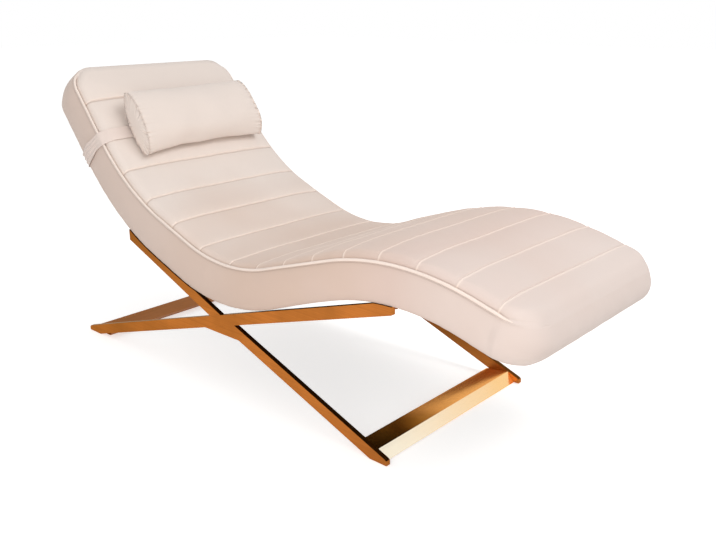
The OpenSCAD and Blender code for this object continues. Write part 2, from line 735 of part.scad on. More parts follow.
module pillow_cover() {
    color(fabric) on_back() difference() {
        pillow_body(0, pillow_half - ticking_t, 0);
        pillow_body(-ticking_t, pillow_half - ticking_t, over);
    }
}
// End panels swell outwards from the seam of the cover, up to this share of its outline
crest_share = 0.55;
module pillow_end(side) {
    f = side;
    base = pillow_ring(f, 0, pillow_half - ticking_t);
    edge = pillow_ring(f, 0, pillow_half);
    mid = [0, pillow_mid];
    crest = [for (p = edge) [
        p.x * crest_share, p.y + side * pillow_end_swell, mid.y + (p.z - mid.y) * crest_share
    ]];
    rings = side > 0 ? [base, edge, crest] : [crest, edge, base];
    color(fabric) on_back() loft(rings);
}
module pillow_end_near() pillow_end(-1);
module pillow_end_far() pillow_end(1);

// Strap: a band round the backrest, whose path keeps a gap to the cushion
// Points on the cushion's section with the direction in which the strap stands off them
strap_lean = [0.15, 0.6, 0.3];
strap_turns = concat([
    [half_w - crown_reach, crown_top, 0, 1],
    [half_w - crown_reach / 2, swell(crown_reach / 2), 0, 1],
    [half_w - edge_reach, swell(edge_reach), strap_lean[0], 1],
    [half_w - roll_gap[2], swell(roll_gap[2]), strap_lean[1], 1],
    [half_w - piping_r / 2, 2 * pipe_w, strap_lean[1], 1],
    [half_w, pipe_w, 1, strap_lean[2]]
], [for (f = wall_shares) if (f > 0)
    [half_w + wall_out(f), -seam_t - (back_t - seam_t) * f, 1, f < 1 ? 0 : -1]
]);
function strap_path(y_start, gap) = [
    for (p = strap_turns) if (p[0] > y_start || p[1] < 0) [p[0] + gap * p[2], p[1] + gap * p[3]]
];
function top_at(y, gap) = [y, gap + lookup(half_w - y, [
    [rim_w, 0], [edge_reach, swell(edge_reach)],
    [crown_reach / 2, swell(crown_reach / 2)], [crown_reach, crown_top]
])];
function flipped(v, side) = [for (p = v) [side * p.x, p.y]];
// From under the bolster, over the edge, down the wall and along the underside
function band_edge(y_start, y_end, gap, low_gap) = concat(
    [top_at(y_start, gap)], strap_path(y_start, gap),
    [[half_w - crown_reach, -back_t - low_gap], [y_end, -back_t - low_gap]]
);
module band(side, y_start, y_end, low_gap) {
    inner = band_edge(y_start, y_end, strap_gap, low_gap);
    outer = band_edge(y_start, y_end, strap_gap + strap_t, low_gap + strap_t);
    color(white) on_back() translate([-strap_w / 2 - strap_lift, 0, 0]) rotate([90, 0, 90])
        linear_extrude(strap_w) polygon(flipped(concat(inner, reversed(outer)), side));
}
// The strap leaves the bolster a little above its middle
strap_lift = 9;
module strap_near() {
    band(-1, pillow_half - pillow_shift - strap_sewn, -strap_overlap / 2, strap_gap);
}
module strap_far() {
    band(1, pillow_half + pillow_shift - strap_sewn, -strap_overlap / 2, strap_gap + strap_t + 2 * tape_t);
}
module tape(z) {
    color(white) on_back() translate([-strap_w / 2 - strap_lift, -strap_overlap / 2, z])
        cube([strap_w, strap_overlap, tape_t]);
}
module strap_loop_tape() {
    tape(-back_t - strap_gap - strap_t - tape_t);
}
module strap_hook_tape() {
    tape(-back_t - strap_gap - strap_t - 2 * tape_t);
}

quilted_top();
boxing_near();
boxing_far();
boxing_head();
boxing_foot();
piping_cord();
foam_topper();
foam_core();
rib_near();
rib_far();
rib_head();
rib_foot();
corner_blocks();
shell_panel();
underside_cover();
cross_leg_near();
cross_leg_far();
saddle_leg_near();
saddle_leg_far();
front_leg_near();
front_leg_far();
gusset_near();
gusset_far();
front_floor_bar();
rear_floor_bar();
back_cross_rail();
lap_cross_rail();
knee_cross_rail();
rail_bolts();
rail_washers();
t_nuts();
floor_glides();
pillow_fill();
pillow_cover();
pillow_end_near();
pillow_end_far();
strap_near();
strap_far();
strap_loop_tape();
strap_hook_tape();
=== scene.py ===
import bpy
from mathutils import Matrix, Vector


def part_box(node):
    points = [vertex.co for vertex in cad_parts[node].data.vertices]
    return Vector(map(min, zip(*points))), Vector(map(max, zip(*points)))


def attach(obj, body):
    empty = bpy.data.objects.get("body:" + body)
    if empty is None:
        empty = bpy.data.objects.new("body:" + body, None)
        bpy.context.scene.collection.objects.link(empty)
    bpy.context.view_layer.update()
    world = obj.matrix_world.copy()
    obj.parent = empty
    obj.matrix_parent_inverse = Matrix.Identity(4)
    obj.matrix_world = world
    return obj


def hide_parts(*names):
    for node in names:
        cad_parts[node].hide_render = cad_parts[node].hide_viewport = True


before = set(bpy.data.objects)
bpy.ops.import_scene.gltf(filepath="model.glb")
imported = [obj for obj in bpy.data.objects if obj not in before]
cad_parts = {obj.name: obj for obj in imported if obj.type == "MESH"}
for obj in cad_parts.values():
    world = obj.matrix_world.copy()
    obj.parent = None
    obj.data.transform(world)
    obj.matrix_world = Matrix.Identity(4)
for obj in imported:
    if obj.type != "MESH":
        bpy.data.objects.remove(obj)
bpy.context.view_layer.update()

import math

import bmesh
import bpy
import numpy as np
from bpy.props import FloatProperty, FloatVectorProperty, IntProperty, PointerProperty

bl_info = {
    "name": "Relaxation lounger",
    "version": (1, 0, 0),
    "blender": (4, 5, 0),
    "location": "View3D > Sidebar > Lounger",
    "description": "Sewn cushion, bolster, strap and metal finish for the packed lounger",
    "category": "Object",
}

LOUNGER = "lounger"
HEADREST = "headrest"
MM = 0.001
STITCH = 4.2 * MM
PAINTED_REFLECTION_BAR = "bronze_front_bar"  # the one bar whose top gets a painted reflection and whose bevel a painted highlight
FLOOR_GLOW = 0.6
WORLD_LEVEL = 0.54

# The photograph's view, solved from the sewn lines, the legs and the floor bars: place in metres, degrees
# below level, degrees turned round the upright axis, and lens in millimetres.
CAMERA_PLACE = (1.7162, -1.7574, 1.1336)
CAMERA_DOWN = 18.025
CAMERA_ROUND = 41.668
CAMERA_LENS = 41.21


def length(name, description, default):
    """A size in metres."""
    return FloatProperty(
        name=name, description=description, default=default, min=0, unit="LENGTH", precision=4
    )


def angle(name, description, degrees):
    """An angle, stored in radians."""
    return FloatProperty(name=name, description=description, default=math.radians(degrees), subtype="ANGLE")


def count(name, description, default):
    """A number of like parts."""
    return IntProperty(name=name, description=description, default=default, min=1)


def colour(name, description, rgb):
    """A linear colour."""
    return FloatVectorProperty(
        name=name, description=description, default=rgb, size=3, subtype="COLOR", min=0, max=1
    )


def linear(*display):
    """Linear values of a colour given in 8-bit display values."""
    shares = (c / 255 for c in display)
    return tuple(c / 12.92 if c <= 0.04045 else ((c + 0.055) / 1.055) ** 2.4 for c in shares)


class LoungerWave(bpy.types.PropertyGroup):
    """The cushion's side line and section, as in the part's source."""

    cushion_w: length("Width", "Width between the two piped seams", 0.660)
    seat_h: length("Seat height", "Height of the lowest point of the piped seam", 0.410)
    back_angle: angle("Back slope", "Slope of the backrest", 51.7)
    back_len: length("Back length", "Straight length of the backrest", 0.271)
    back_r: length("Back radius", "Radius where the backrest turns into the lap", 0.703)
    lap_angle: angle("Lap slope", "Slope of the lap", 20.9)
    lap_len: length("Lap length", "Straight length of the lap", 0.134)
    seat_r: length("Seat radius", "Radius under the seat", 0.535)
    rise_angle: angle("Rise slope", "Slope of the rise to the knees", 17.2)
    rise_len: length("Rise length", "Straight length of the rise", 0.248)
    knee_r: length("Knee radius", "Radius over the knees", 0.782)
    calf_angle: angle("Calf slope", "Slope of the calf rest", 16)
    calf_len: length("Calf length", "Straight length of the calf rest", 0.157)
    back_t: length("Back depth", "Depth of the side wall on the backrest", 0.124)
    seat_t: length("Seat depth", "Depth of the side wall under the seat", 0.129)
    foot_t: length("Foot depth", "Depth of the side wall at the foot end", 0.102)
    corner_r: length("Corner radius", "Radius of the corners seen from above", 0.085)
    edge_rise: length("Edge rise", "Height of the rolled edge above the seam", 0.024)
    edge_reach: length("Edge reach", "Distance over which the edge rolls up", 0.034)
    crown_rise: length("Crown", "Further crown in the middle", 0.009)
    seat_flat_share: FloatProperty(
        name="Seat flatness", description="How much flatter the seat is",
        default=0.33, min=0, max=1, subtype="FACTOR"
    )
    crown_reach: length("Crown reach", "Distance over which the crown builds up", 0.160)
    back_channels: count("Back channels", "Channels on the backrest", 7)
    back_pitch: length("Back channel", "Width of a channel on the backrest", 0.140)
    front_channels: count("Front channels", "Channels from the seat on", 9)
    front_pitch: length("Front channel", "Width of a channel from the seat on", 0.115)
    channel_depth: length("Channel depth", "Depth of the sewn line between channels", 0.005)
    fold_depth: length("Fold depth", "Depth of the fold on one side of each sewn line", 0.0028)
    ridge_rise: length("Ridge height", "Height of the turned-in edge on its other side", 0.0015)
    ridge_more: length("Leg ridge", "Further height of that edge on the leg rest", 0.0012)
    pucker_rise: length("Pucker height", "Height of the gathers beside each sewn line", 0.0011)
    top_unevenness: length("Top unevenness", "Height of the panel's soft unevenness", 0.0009)
    side_bulge: length("Wall bulge", "Outward swell of the side wall", 0.009)
    side_tuck: length("Wall tuck", "How far the wall's lower edge is drawn in", 0.004)
    foot_bulge: length("Foot bulge", "Outward swell of the end wall at the foot", 0.026)
    foot_roll: length("Foot roll", "Length over which the panel rolls over the foot end", 0.100)
    head_roll: length("Head roll", "Length over which the panel rolls over the head end", 0.042)
    wall_unevenness: length("Wall unevenness", "Depth of the wall's soft unevenness", 0.0013)
    wall_pull: length("Wall pull", "Depth of the pulls under the piping", 0.0009)
    staple_pull: length("Staple pull", "Depth of the pulls over the staples", 0.0006)
    boxing_t: length("Wall padding", "Thickness of the padded wall", 0.014)
    seam_t: length("Seam allowance", "Thickness under the quilted panel", 0.002)
    piping_r: length("Piping radius", "Radius of the piping cord", 0.0045)
    cord_share: FloatProperty(
        name="Cord share", description="Share of its radius to which the cord is drawn in",
        default=0.85, min=0, max=1, subtype="FACTOR"
    )


class LoungerBolster(bpy.types.PropertyGroup):
    """The headrest's bolster and strap, as in the part's source."""

    width: length("Width", "Width across the lounger", 0.486)
    shift: length("Offset", "Sideways offset of the bolster", 0.012)
    height: length("Height", "Height along the backrest", 0.236)
    depth: length("Depth", "Thickness of the bolster", 0.094)
    tilt: angle("Tilt", "Tilt away from the backrest at the upper edge", 10)
    place_s: length("Place", "Distance from the head end along the seam", 0.283)
    waist: length("Waist", "How far the lower edge is drawn in", 0.038)
    end_swell: length("End swell", "How far the end panels swell", 0.010)
    seam_r: length("End seam radius", "Mean radius of the seam round each end panel", 0.090)
    seam_rise: length("End seam height", "Height of the ridge of that seam", 0.0034)
    end_gather: length("End gathers", "Depth of the gathers on the end panels", 0.0036)
    side_gather: length("Side gathers", "Depth of the gathers beside the end panels", 0.0034)
    unevenness: length("Unevenness", "Height of the bolster's soft unevenness", 0.0018)
    strap_w: length("Strap width", "Width of the elastic strap", 0.050)
    strap_t: length("Strap thickness", "Thickness of the elastic strap", 0.0016)
    strap_gap: length("Strap gap", "Running gap to the cushion", 0.0007)
    strap_lift: length("Strap lift", "How far the strap sits above the bolster's middle", 0.009)
    strap_sewn: length("Strap sewn", "Length sewn under each end of the bolster", 0.046)
    strap_overlap: length("Strap overlap", "Overlap of the ends behind the back", 0.110)
    strap_fold: length("Strap fold", "Height of the strap's folds over the piping", 0.0055)
    strap_fold_w: length("Strap fold width", "Width of each of those folds", 0.0155)
    tape_t: length("Tape thickness", "Thickness of each fastening tape", 0.0012)


class LoungerFinish(bpy.types.PropertyGroup):
    """Colours of the finishes, and the painted light and shade on the cover and the metal."""

    cover: colour("Cover", "Cream cover at the head end", linear(229, 217, 209))
    # painted shade: the wall's cream is a darker copy of the cover's, and rosier
    cover_wall_shade: colour("Cover, wall", "Rosier cream of the wall at the head end", linear(218, 199, 188))
    # painted light and shade along the lounger: darker copies of the cream in the seat and on the leg rest, a
    # lighter one at the foot end
    cover_seat_shade: colour("Cover, seat", "Warmer cream in the seat", linear(212, 188, 173))
    cover_leg_shade: colour("Cover, legs", "Rosy cream on the leg rest", linear(215, 193, 183))
    cover_foot_lit: colour("Cover, foot", "Pale rose at the foot end", linear(220, 205, 198))
    piping: colour("Piping", "Covered cord, a shade lighter", linear(241, 226, 216))
    strap: colour("Strap", "Pale elastic web", linear(229, 214, 206))
    metal: colour("Metal", "Brushed bronze tone", linear(186, 112, 50))
    metal_brown: colour("Metal, brown", "Browner patches of the finish", linear(140, 84, 34))
    # painted reflection: the lighter colour on the front bar's top, brightest towards the far end
    metal_painted_reflection: colour("Metal, worn", "Top of the front bar, worn bright", linear(250, 182, 108))
    # painted highlight: the near-white colour of the front bar's outer bevel
    metal_bevel_highlight: colour("Metal, polished bevel", "Brighter bevel of the front bar", linear(255, 243, 219))
    # painted shade: the dark colour that the upward faces of the bars and legs take
    metal_upward_shade: colour("Metal, upper faces", "Dark patina on upward faces", linear(70, 36, 10))
    ply: colour("Plywood", "Sanded birch", linear(214, 184, 140))
    zinc: colour("Zinc", "Zinc-plated fasteners", linear(186, 187, 190))


# Geometry of the cushion


def ease(x):
    """Smooth step from 0 to 1."""
    x = np.clip(x, 0, 1)
    return x * x * (3 - 2 * x)


def bell(x, width):
    """A bump of height 1 at 0 that fades out over a width."""
    return np.exp(-(x / width) ** 2)


def sines(x, waves, seed):
    """A gentle ripple in -1..1: a sum of sines with seeded phases."""
    phases = np.random.default_rng(seed).uniform(0, 2 * math.pi, len(waves))
    return sum(np.sin(2 * math.pi * x / w + p) for w, p in zip(waves, phases)) / len(waves)


def dunes(x, y, size, seed):
    """A soft random surface in about -1..1, seeded."""
    rng = np.random.default_rng(seed)
    waves, total = 7, 0
    for _ in range(waves):
        turn, phase, stretch = rng.uniform(0, 2 * math.pi), rng.uniform(0, 2 * math.pi), rng.uniform(0.6, 1.5)
        way = x * math.cos(turn) + y * math.sin(turn)
        total = total + np.sin(2 * math.pi * way / (size * stretch) + phase)
    return total / math.sqrt(waves)


class Wave:
    """The cushion's side line, its depth and its plan outline, all in metres.

    s runs along the piped seam from the head end, v across the lounger and w up from the seam.
    """

    def __init__(self, p):
        self.p = p
        self.half_w = p.cushion_w / 2
        lap, seat, knee = p.back_angle - p.lap_angle, p.lap_angle + p.rise_angle, p.rise_angle + p.calf_angle
        # the stretches: 0 back, 1 bend, 2 lap, 3 bend of the seat, 4 rise, 5 bend of the knees, 6 calf rest
        self.turns = np.array([0, lap, 0, seat, 0, -knee, 0])
        self.runs = np.array([
            p.back_len, p.back_r * lap, p.lap_len, p.seat_r * seat, p.rise_len, p.knee_r * knee, p.calf_len
        ])
        self.starts = np.concatenate([[0], np.cumsum(self.runs)[:-1]])
        self.length = float(self.runs.sum())
        self.slopes = -p.back_angle + np.concatenate([[0], np.cumsum(self.turns)[:-1]])
        place = np.zeros(2)
        self.places = [place]
        for i in range(len(self.runs) - 1):
            place = place + self.advance(self.slopes[i], self.runs[i], self.turns[i])
            self.places.append(place)
        self.places = np.array(self.places)
        self.rim_w = 2 * p.piping_r + 1.2 * MM  # the panel starts to roll up beside the cord
        self.shift = np.zeros(2)
        low = self.seam(self.starts[3] + p.seat_r * p.lap_angle)[1]
        x_low, x_high = self.ends()
        self.shift = np.array([-(x_low + x_high) / 2, p.seat_h - low])
        backs = p.back_pitch * np.arange(p.back_channels + 1)
        fronts = backs[-1] + p.front_pitch * np.arange(1, p.front_channels)
        self.channels = np.concatenate([backs, fronts, [self.length]])

    @staticmethod
    def advance(slope, run, turn):
        """The step along a stretch of a given run that starts at a slope and turns on the way."""
        slope, run, turn = np.broadcast_arrays(*(np.asarray(x, float) for x in (slope, run, turn)))
        straight = np.abs(turn) < 1e-9
        radius = run / np.where(straight, 1, turn)
        end = slope + turn
        dx = np.where(straight, run * np.cos(slope), radius * (np.sin(end) - np.sin(slope)))
        dz = np.where(straight, run * np.sin(slope), radius * (np.cos(slope) - np.cos(end)))
        return np.stack([dx, dz], -1)

    def stretch_at(self, s):
        """Number of the straight or bent stretch at s."""
        return np.searchsorted(self.starts[1:], s, side="left")

    def heading(self, s):
        """Slope of the seam at s, in radians."""
        i = self.stretch_at(s)
        return self.slopes[i] + self.turns[i] * (s - self.starts[i]) / self.runs[i]

    def seam(self, s):
        """The point of the seam at s, before the cushion is set on its place."""
        s = np.asarray(s, float)
        i = self.stretch_at(s)
        u = s - self.starts[i]
        return self.places[i] + self.advance(self.slopes[i], u, self.turns[i] * u / self.runs[i])

    def at(self, s, w):
        """The point in the XZ plane at s along the seam and w above it."""
        h = self.heading(np.asarray(s, float))
        up = np.stack([-np.sin(h), np.cos(h)], -1)
        return self.seam(s) + np.asarray(w)[..., None] * up + self.shift

    def spot(self, s, v, w):
        """The point in space at s, across v and w above the seam."""
        s, v, w = np.broadcast_arrays(np.asarray(s, float), np.asarray(v, float), np.asarray(w, float))
        q = self.at(s, w)
        return np.stack([q[..., 0], v, q[..., 1]], -1)

    def between(self, s, i, j):
        """0 before stretch i and 1 after the start of stretch j."""
        return ease((s - self.starts[i]) / (self.starts[j] - self.starts[i]))

    def thick(self, s):
        """Depth of the wall at s."""
        p = self.p
        seat, foot = self.between(s, 1, 2), self.between(s, 3, 5)
        return p.back_t + (p.seat_t - p.back_t) * seat + (p.foot_t - p.seat_t) * foot

    def wall_out(self, share):
        """Outward offset of the side wall at a share of its depth."""
        return self.p.side_bulge * np.sin(math.pi * share) - self.p.side_tuck * share

    def foot_wall(self, share, turn=math.pi / 2):
        """Outward offset of the wall at the foot end; turn is 0 on the side and a right angle on the end."""
        more = (self.p.foot_bulge - self.p.side_bulge) * np.sin(math.pi * share) * np.sqrt(np.sin(turn))
        return self.wall_out(share) + more

    def ends(self):
        """The lowest and highest x of the two end walls, at the shares of depth that the source uses."""
        shares = (0, 0.2, 0.5, 0.8, 1)
        head = min(self.at(0 - self.wall_out(f), -self.thick(0.0) * f)[0] for f in shares)
        foot = max(self.at(self.length + self.foot_wall(f), -self.thick(self.length) * f)[0] for f in shares)
        return head, foot

    def waterfall(self, s):
        """0 along the cushion and 1 at its two ends, where the panel runs over with no cord standing out."""
        p = self.p
        foot = ease((s - (self.length - p.foot_roll)) / (0.85 * p.foot_roll))
        return np.maximum(foot, ease((p.head_roll - s) / (p.head_roll - 6 * MM)))

    def end_gap(self, s):
        """Distance to the nearer end along the seam."""
        return np.minimum(s, self.length - s)

    def contour(self, s, e):
        """Place across of a line at distance e from the plan outline."""
        r = self.p.corner_r
        g = self.end_gap(s)
        d = r - g
        round_part = self.half_w - r + np.sqrt(np.maximum(0, (r - e) ** 2 - d ** 2))
        return np.where(d <= 0, self.half_w - e, np.where(e < g, round_part, self.half_w - r - (e - g)))

    def edge_gap(self, s, v):
        """Distance of a point from the plan outline."""
        r = self.p.corner_r
        end, side = self.end_gap(s), self.half_w - np.abs(v)
        in_corner = (end < r) & (side < r)
        return np.where(in_corner, r - np.hypot(r - end, r - side), np.minimum(end, side))

    def rolled(self, e):
        """How far the edge has rolled up at a distance from the outline."""
        return np.clip((e - self.rim_w) / (self.p.edge_reach - self.rim_w), 0, 1)

    def swell(self, e, fall=0.0, foot=True):
        """Height of the edge and crown at a distance from the outline; fall is the end roll's share."""
        p = self.p
        roll = np.sqrt(np.maximum(0, 1 - (1 - self.rolled(e)) ** 2))
        share = np.clip(e / (1.05 * p.edge_reach), 0, 1)
        over_foot = np.sin(math.pi / 2 * share)
        over_head = np.maximum(0, 1 - (1 - share) ** 2.4) ** 0.62  # fuller and squarer than the foot
        roll = roll + (np.where(foot, over_foot, over_head) - roll) * fall
        crown = np.sin(math.pi / 2 * np.clip((e - self.rim_w) / (p.crown_reach - self.rim_w), 0, 1))
        return p.edge_rise * roll + p.crown_rise * crown

    def fullness(self, s):
        """Share of the crown that is left where the seat is flatter."""
        return 1 - self.p.seat_flat_share * self.between(s, 2, 3) * (1 - self.between(s, 4, 5))

    def channel_share(self, s):
        """Place within a channel, 0 to 1."""
        i = np.clip(np.searchsorted(self.channels, s, side="right") - 1, 0, len(self.channels) - 2)
        return (s - self.channels[i]) / (self.channels[i + 1] - self.channels[i])

    def seam_distance(self, s, v):
        """Distance to the nearest sewn line across the cushion, and its number."""
        lines = self.channels[1:-1]
        drift = 0.5 * MM * sines(v, (0.31, 0.17, 0.09), 5)
        d = s[..., None] + drift[..., None] - lines
        k = np.argmin(np.abs(d), -1)
        return np.take_along_axis(d, k[..., None], -1)[..., 0], k

    def puckers(self, v, d, k):
        """Small gathers that run off both sides of each sewn line."""
        out, away = np.zeros_like(d), np.abs(d)
        for line in range(len(self.channels) - 2):
            for side in (-1, 1):
                pick = (k == line) & (np.sign(d) == side)
                if pick.any():
                    ripple = sines(v[pick], (0.021, 0.034, 0.013, 0.055), 100 + 2 * line + side)
                    reach = (17 + 5 * math.sin(3.1 * line)) * MM
                    fade = np.exp(-away[pick] / reach) * (1 - np.exp(-away[pick] / (2.2 * MM)))
                    out[pick] = self.p.pucker_rise * ripple * fade
        return out

    def top(self, s, v):
        """Height of the quilted panel above the seam, and the shares of painted highlight on the ridges and
        of painted shade in the folds at each point.
        """
        p = self.p
        e = np.maximum(0, self.edge_gap(s, v))
        r = self.rolled(e)
        fall = self.waterfall(s)
        d, k = self.seam_distance(s, v)
        pucker = self.puckers(v, d, k)
        # The panel folds in on one side of the stitches, and the turned-in allowance is a ridge on the
        # other. The ridge is on the head side of the back and the seat, and on the foot side of the leg rest.
        d = np.where(self.channels[1:-1][k] < 0.5 * (self.starts[3] + self.starts[5]), -d, d)
        raised = self.between(s, 3, 5)
        inside = np.clip(e / self.rim_w, 0, 1)
        fold_at, fold_w, ridge_at, ridge_w = 2.6 * MM, 2.1 * MM, 2.2 * MM, 2.4 * MM
        groove = p.fold_depth * bell(d + fold_at, fold_w) * (1 - 0.45 * raised)
        ridge = bell(d - ridge_at, ridge_w)
        lip = (p.ridge_rise + p.ridge_more * raised) * ridge
        puff = np.maximum(0, np.sin(math.pi * self.channel_share(s))) ** 0.42
        w = self.swell(e, fall, s > self.length / 2) * self.fullness(s)
        w = w - p.channel_depth * (1 - puff) * r - (groove - lip) * (0.45 + 0.55 * r) * inside
        w = w + pucker * (0.5 + 0.5 * np.clip(e / p.edge_reach, 0, 1)) * r
        uneven = sines(s, (0.06, 0.11, 0.037), 9) * np.exp(-e / 0.045) + dunes(s, v, 0.33, 3)
        w = w + p.top_unevenness * r * uneven
        # tones: a painted highlight on the ridge, fading out towards the head on the back; painted shade in
        # the fold, darkest at the stitches
        beside_ridge_highlight = np.exp(np.minimum(0, 4 * MM - d) / (10 * MM)) * (d > 3 * MM)
        ridge = np.clip(ridge + 0.45 * (1 - raised) * beside_ridge_highlight, 0, 1) * inside
        # a soft painted shade beside the fold on the back and the seat
        beside_fold_shade = np.exp(np.minimum(0, d + 3 * MM) / (9 * MM)) * (d < -2 * MM)
        fold = bell(d + 3 * MM, 2.8 * MM) * inside * (1.1 - 0.95 * raised) + 0.14 * (1 - raised) * beside_fold_shade
        # painted shade in the crease beside the piping, but not where the panel runs over the ends
        fold = np.maximum(fold, 0.9 * bell(e, 3.4 * MM) * (1 - fall))
        return w, ridge, fold

    def outline(self, step, turn_steps):
        """The closed plan outline, near side first: s, v and the outward direction, with the run along it."""
        r, half, end = self.p.corner_r, self.half_w, self.length
        side_s = np.linspace(r, end - r, int((end - 2 * r) / step) + 1)
        end_v = np.linspace(r - half, half - r, int((2 * half - 2 * r) / step) + 1)
        quarter = np.linspace(0, math.pi / 2, turn_steps + 1)[1:-1]

        def corner(s, v, start):
            ways = [(math.cos(a), math.sin(a)) for a in start + quarter]
            return [(s + r * ds, v + r * dv, ds, dv) for ds, dv in ways]

        rows = [(s, -half, 0, -1) for s in side_s] + corner(end - r, r - half, -math.pi / 2)
        rows += [(end, v, 1, 0) for v in end_v] + corner(end - r, half - r, 0)
        rows += [(s, half, 0, 1) for s in side_s[::-1]] + corner(r, half - r, math.pi / 2)
        rows += [(0, v, -1, 0) for v in end_v[::-1]] + corner(r, r - half, math.pi)
        rows = np.array(rows, float)
        steps = np.hypot(*(np.roll(rows[:, :2], -1, 0) - rows[:, :2]).T)
        return rows, np.concatenate([[0], np.cumsum(steps)])

    def back_point(self, x, y, z, place_s):
        """A point in the plane of the backrest: x down the slope, y across, z along the normal."""
        c, q = math.cos(self.p.back_angle), -math.sin(self.p.back_angle)
        o = self.at(self.p.back_len, 0.0) + (place_s - self.p.back_len) * np.array([c, q])
        return np.stack([o[0] + x * c - z * q, y + 0 * x, o[1] + x * q + z * c], -1)


def wave(context):
    """The cushion's line for the present sizes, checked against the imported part."""
    line = Wave(context.scene.lounger_wave)
    head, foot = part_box("boxing_head")[0].x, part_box("boxing_foot")[1].x
    x_low, x_high = line.ends()
    if abs(x_low - head) > 2 * MM or abs(x_high - foot) > 2 * MM:
        sizes = f"{x_low:.4f} and {x_high:.4f} m, not {head:.4f} and {foot:.4f} m"
        raise RuntimeError(f"the cushion's ends don't match the packed part: {sizes}")
    return line


# Meshes


def loft(name, rings, run, across, loop=False):
    """Rings of points joined into a closed body; run and across give its UV map in metres."""
    rings = np.asarray(rings, float)
    n, m = rings.shape[:2]
    faces, uvs = [], []
    for i in range(n if loop else n - 1):
        i2 = (i + 1) % n
        for j in range(m):
            j2 = (j + 1) % m
            faces.append((i * m + j, i2 * m + j, i2 * m + j2, i * m + j2))
            uvs += [(run[a], across[b]) for a, b in ((i, j), (i + 1, j), (i + 1, j + 1), (i, j + 1))]
    if not loop:
        for i, order in ((0, range(m)), (n - 1, range(m - 1, -1, -1))):
            faces.append(tuple(i * m + j for j in order))
            uvs += [(run[i], across[j]) for j in order]
    mesh = bpy.data.meshes.new(name)
    mesh.from_pydata(rings.reshape(-1, 3).tolist(), [], faces)
    mesh.uv_layers.new(name="UVMap").data.foreach_set("uv", np.asarray(uvs, np.float32).ravel())
    mesh.polygons.foreach_set("use_smooth", [True] * len(mesh.polygons))
    mesh.update()
    obj = bpy.data.objects.new(name, mesh)
    bpy.context.scene.collection.objects.link(obj)
    outward(obj)
    return obj


def slab(name, upper, lower, run, across):
    """A thin closed body between two surfaces of equal rows and columns."""
    beside = 0.1  # places the lower surface beside the upper one in the UV map
    turned = np.concatenate([across, across[::-1] + beside, [2 * beside]])
    return loft(name, np.concatenate([upper, lower[:, ::-1]], 1), run, turned)


def outward(obj):
    """Turns all faces of a closed body outwards."""
    bm = bmesh.new()
    bm.from_mesh(obj.data)
    bmesh.ops.recalc_face_normals(bm, faces=bm.faces)
    if bm.calc_volume(signed=True) < 0:
        bmesh.ops.reverse_faces(bm, faces=bm.faces)
    bm.to_mesh(obj.data)
    bm.free()
    obj.data.update()


def run_of(points):
    """Length along a list of points."""
    steps = np.linalg.norm(np.diff(points, axis=0), axis=1)
    return np.concatenate([[0], np.cumsum(steps)])


def mark(obj, name, values):
    """Stores one number per vertex for the material."""
    attribute = obj.data.attributes.new(name, "FLOAT", "POINT")
    attribute.data.foreach_set("value", np.asarray(values, np.float32).ravel())


def settle(obj, body, material, replaced):
    """Gives a finished piece its material and slot, the nodes that it stands for and its body."""
    obj.data.materials.clear()
    obj.data.materials.append(material)
    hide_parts(*replaced)
    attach(obj, body)


# Materials


def shade(rgb, *factors):
    """A colour times one factor or three, kept below white."""
    return tuple(min(1, c * f) for c, f in zip(rgb, factors * 3 if len(factors) == 1 else factors))


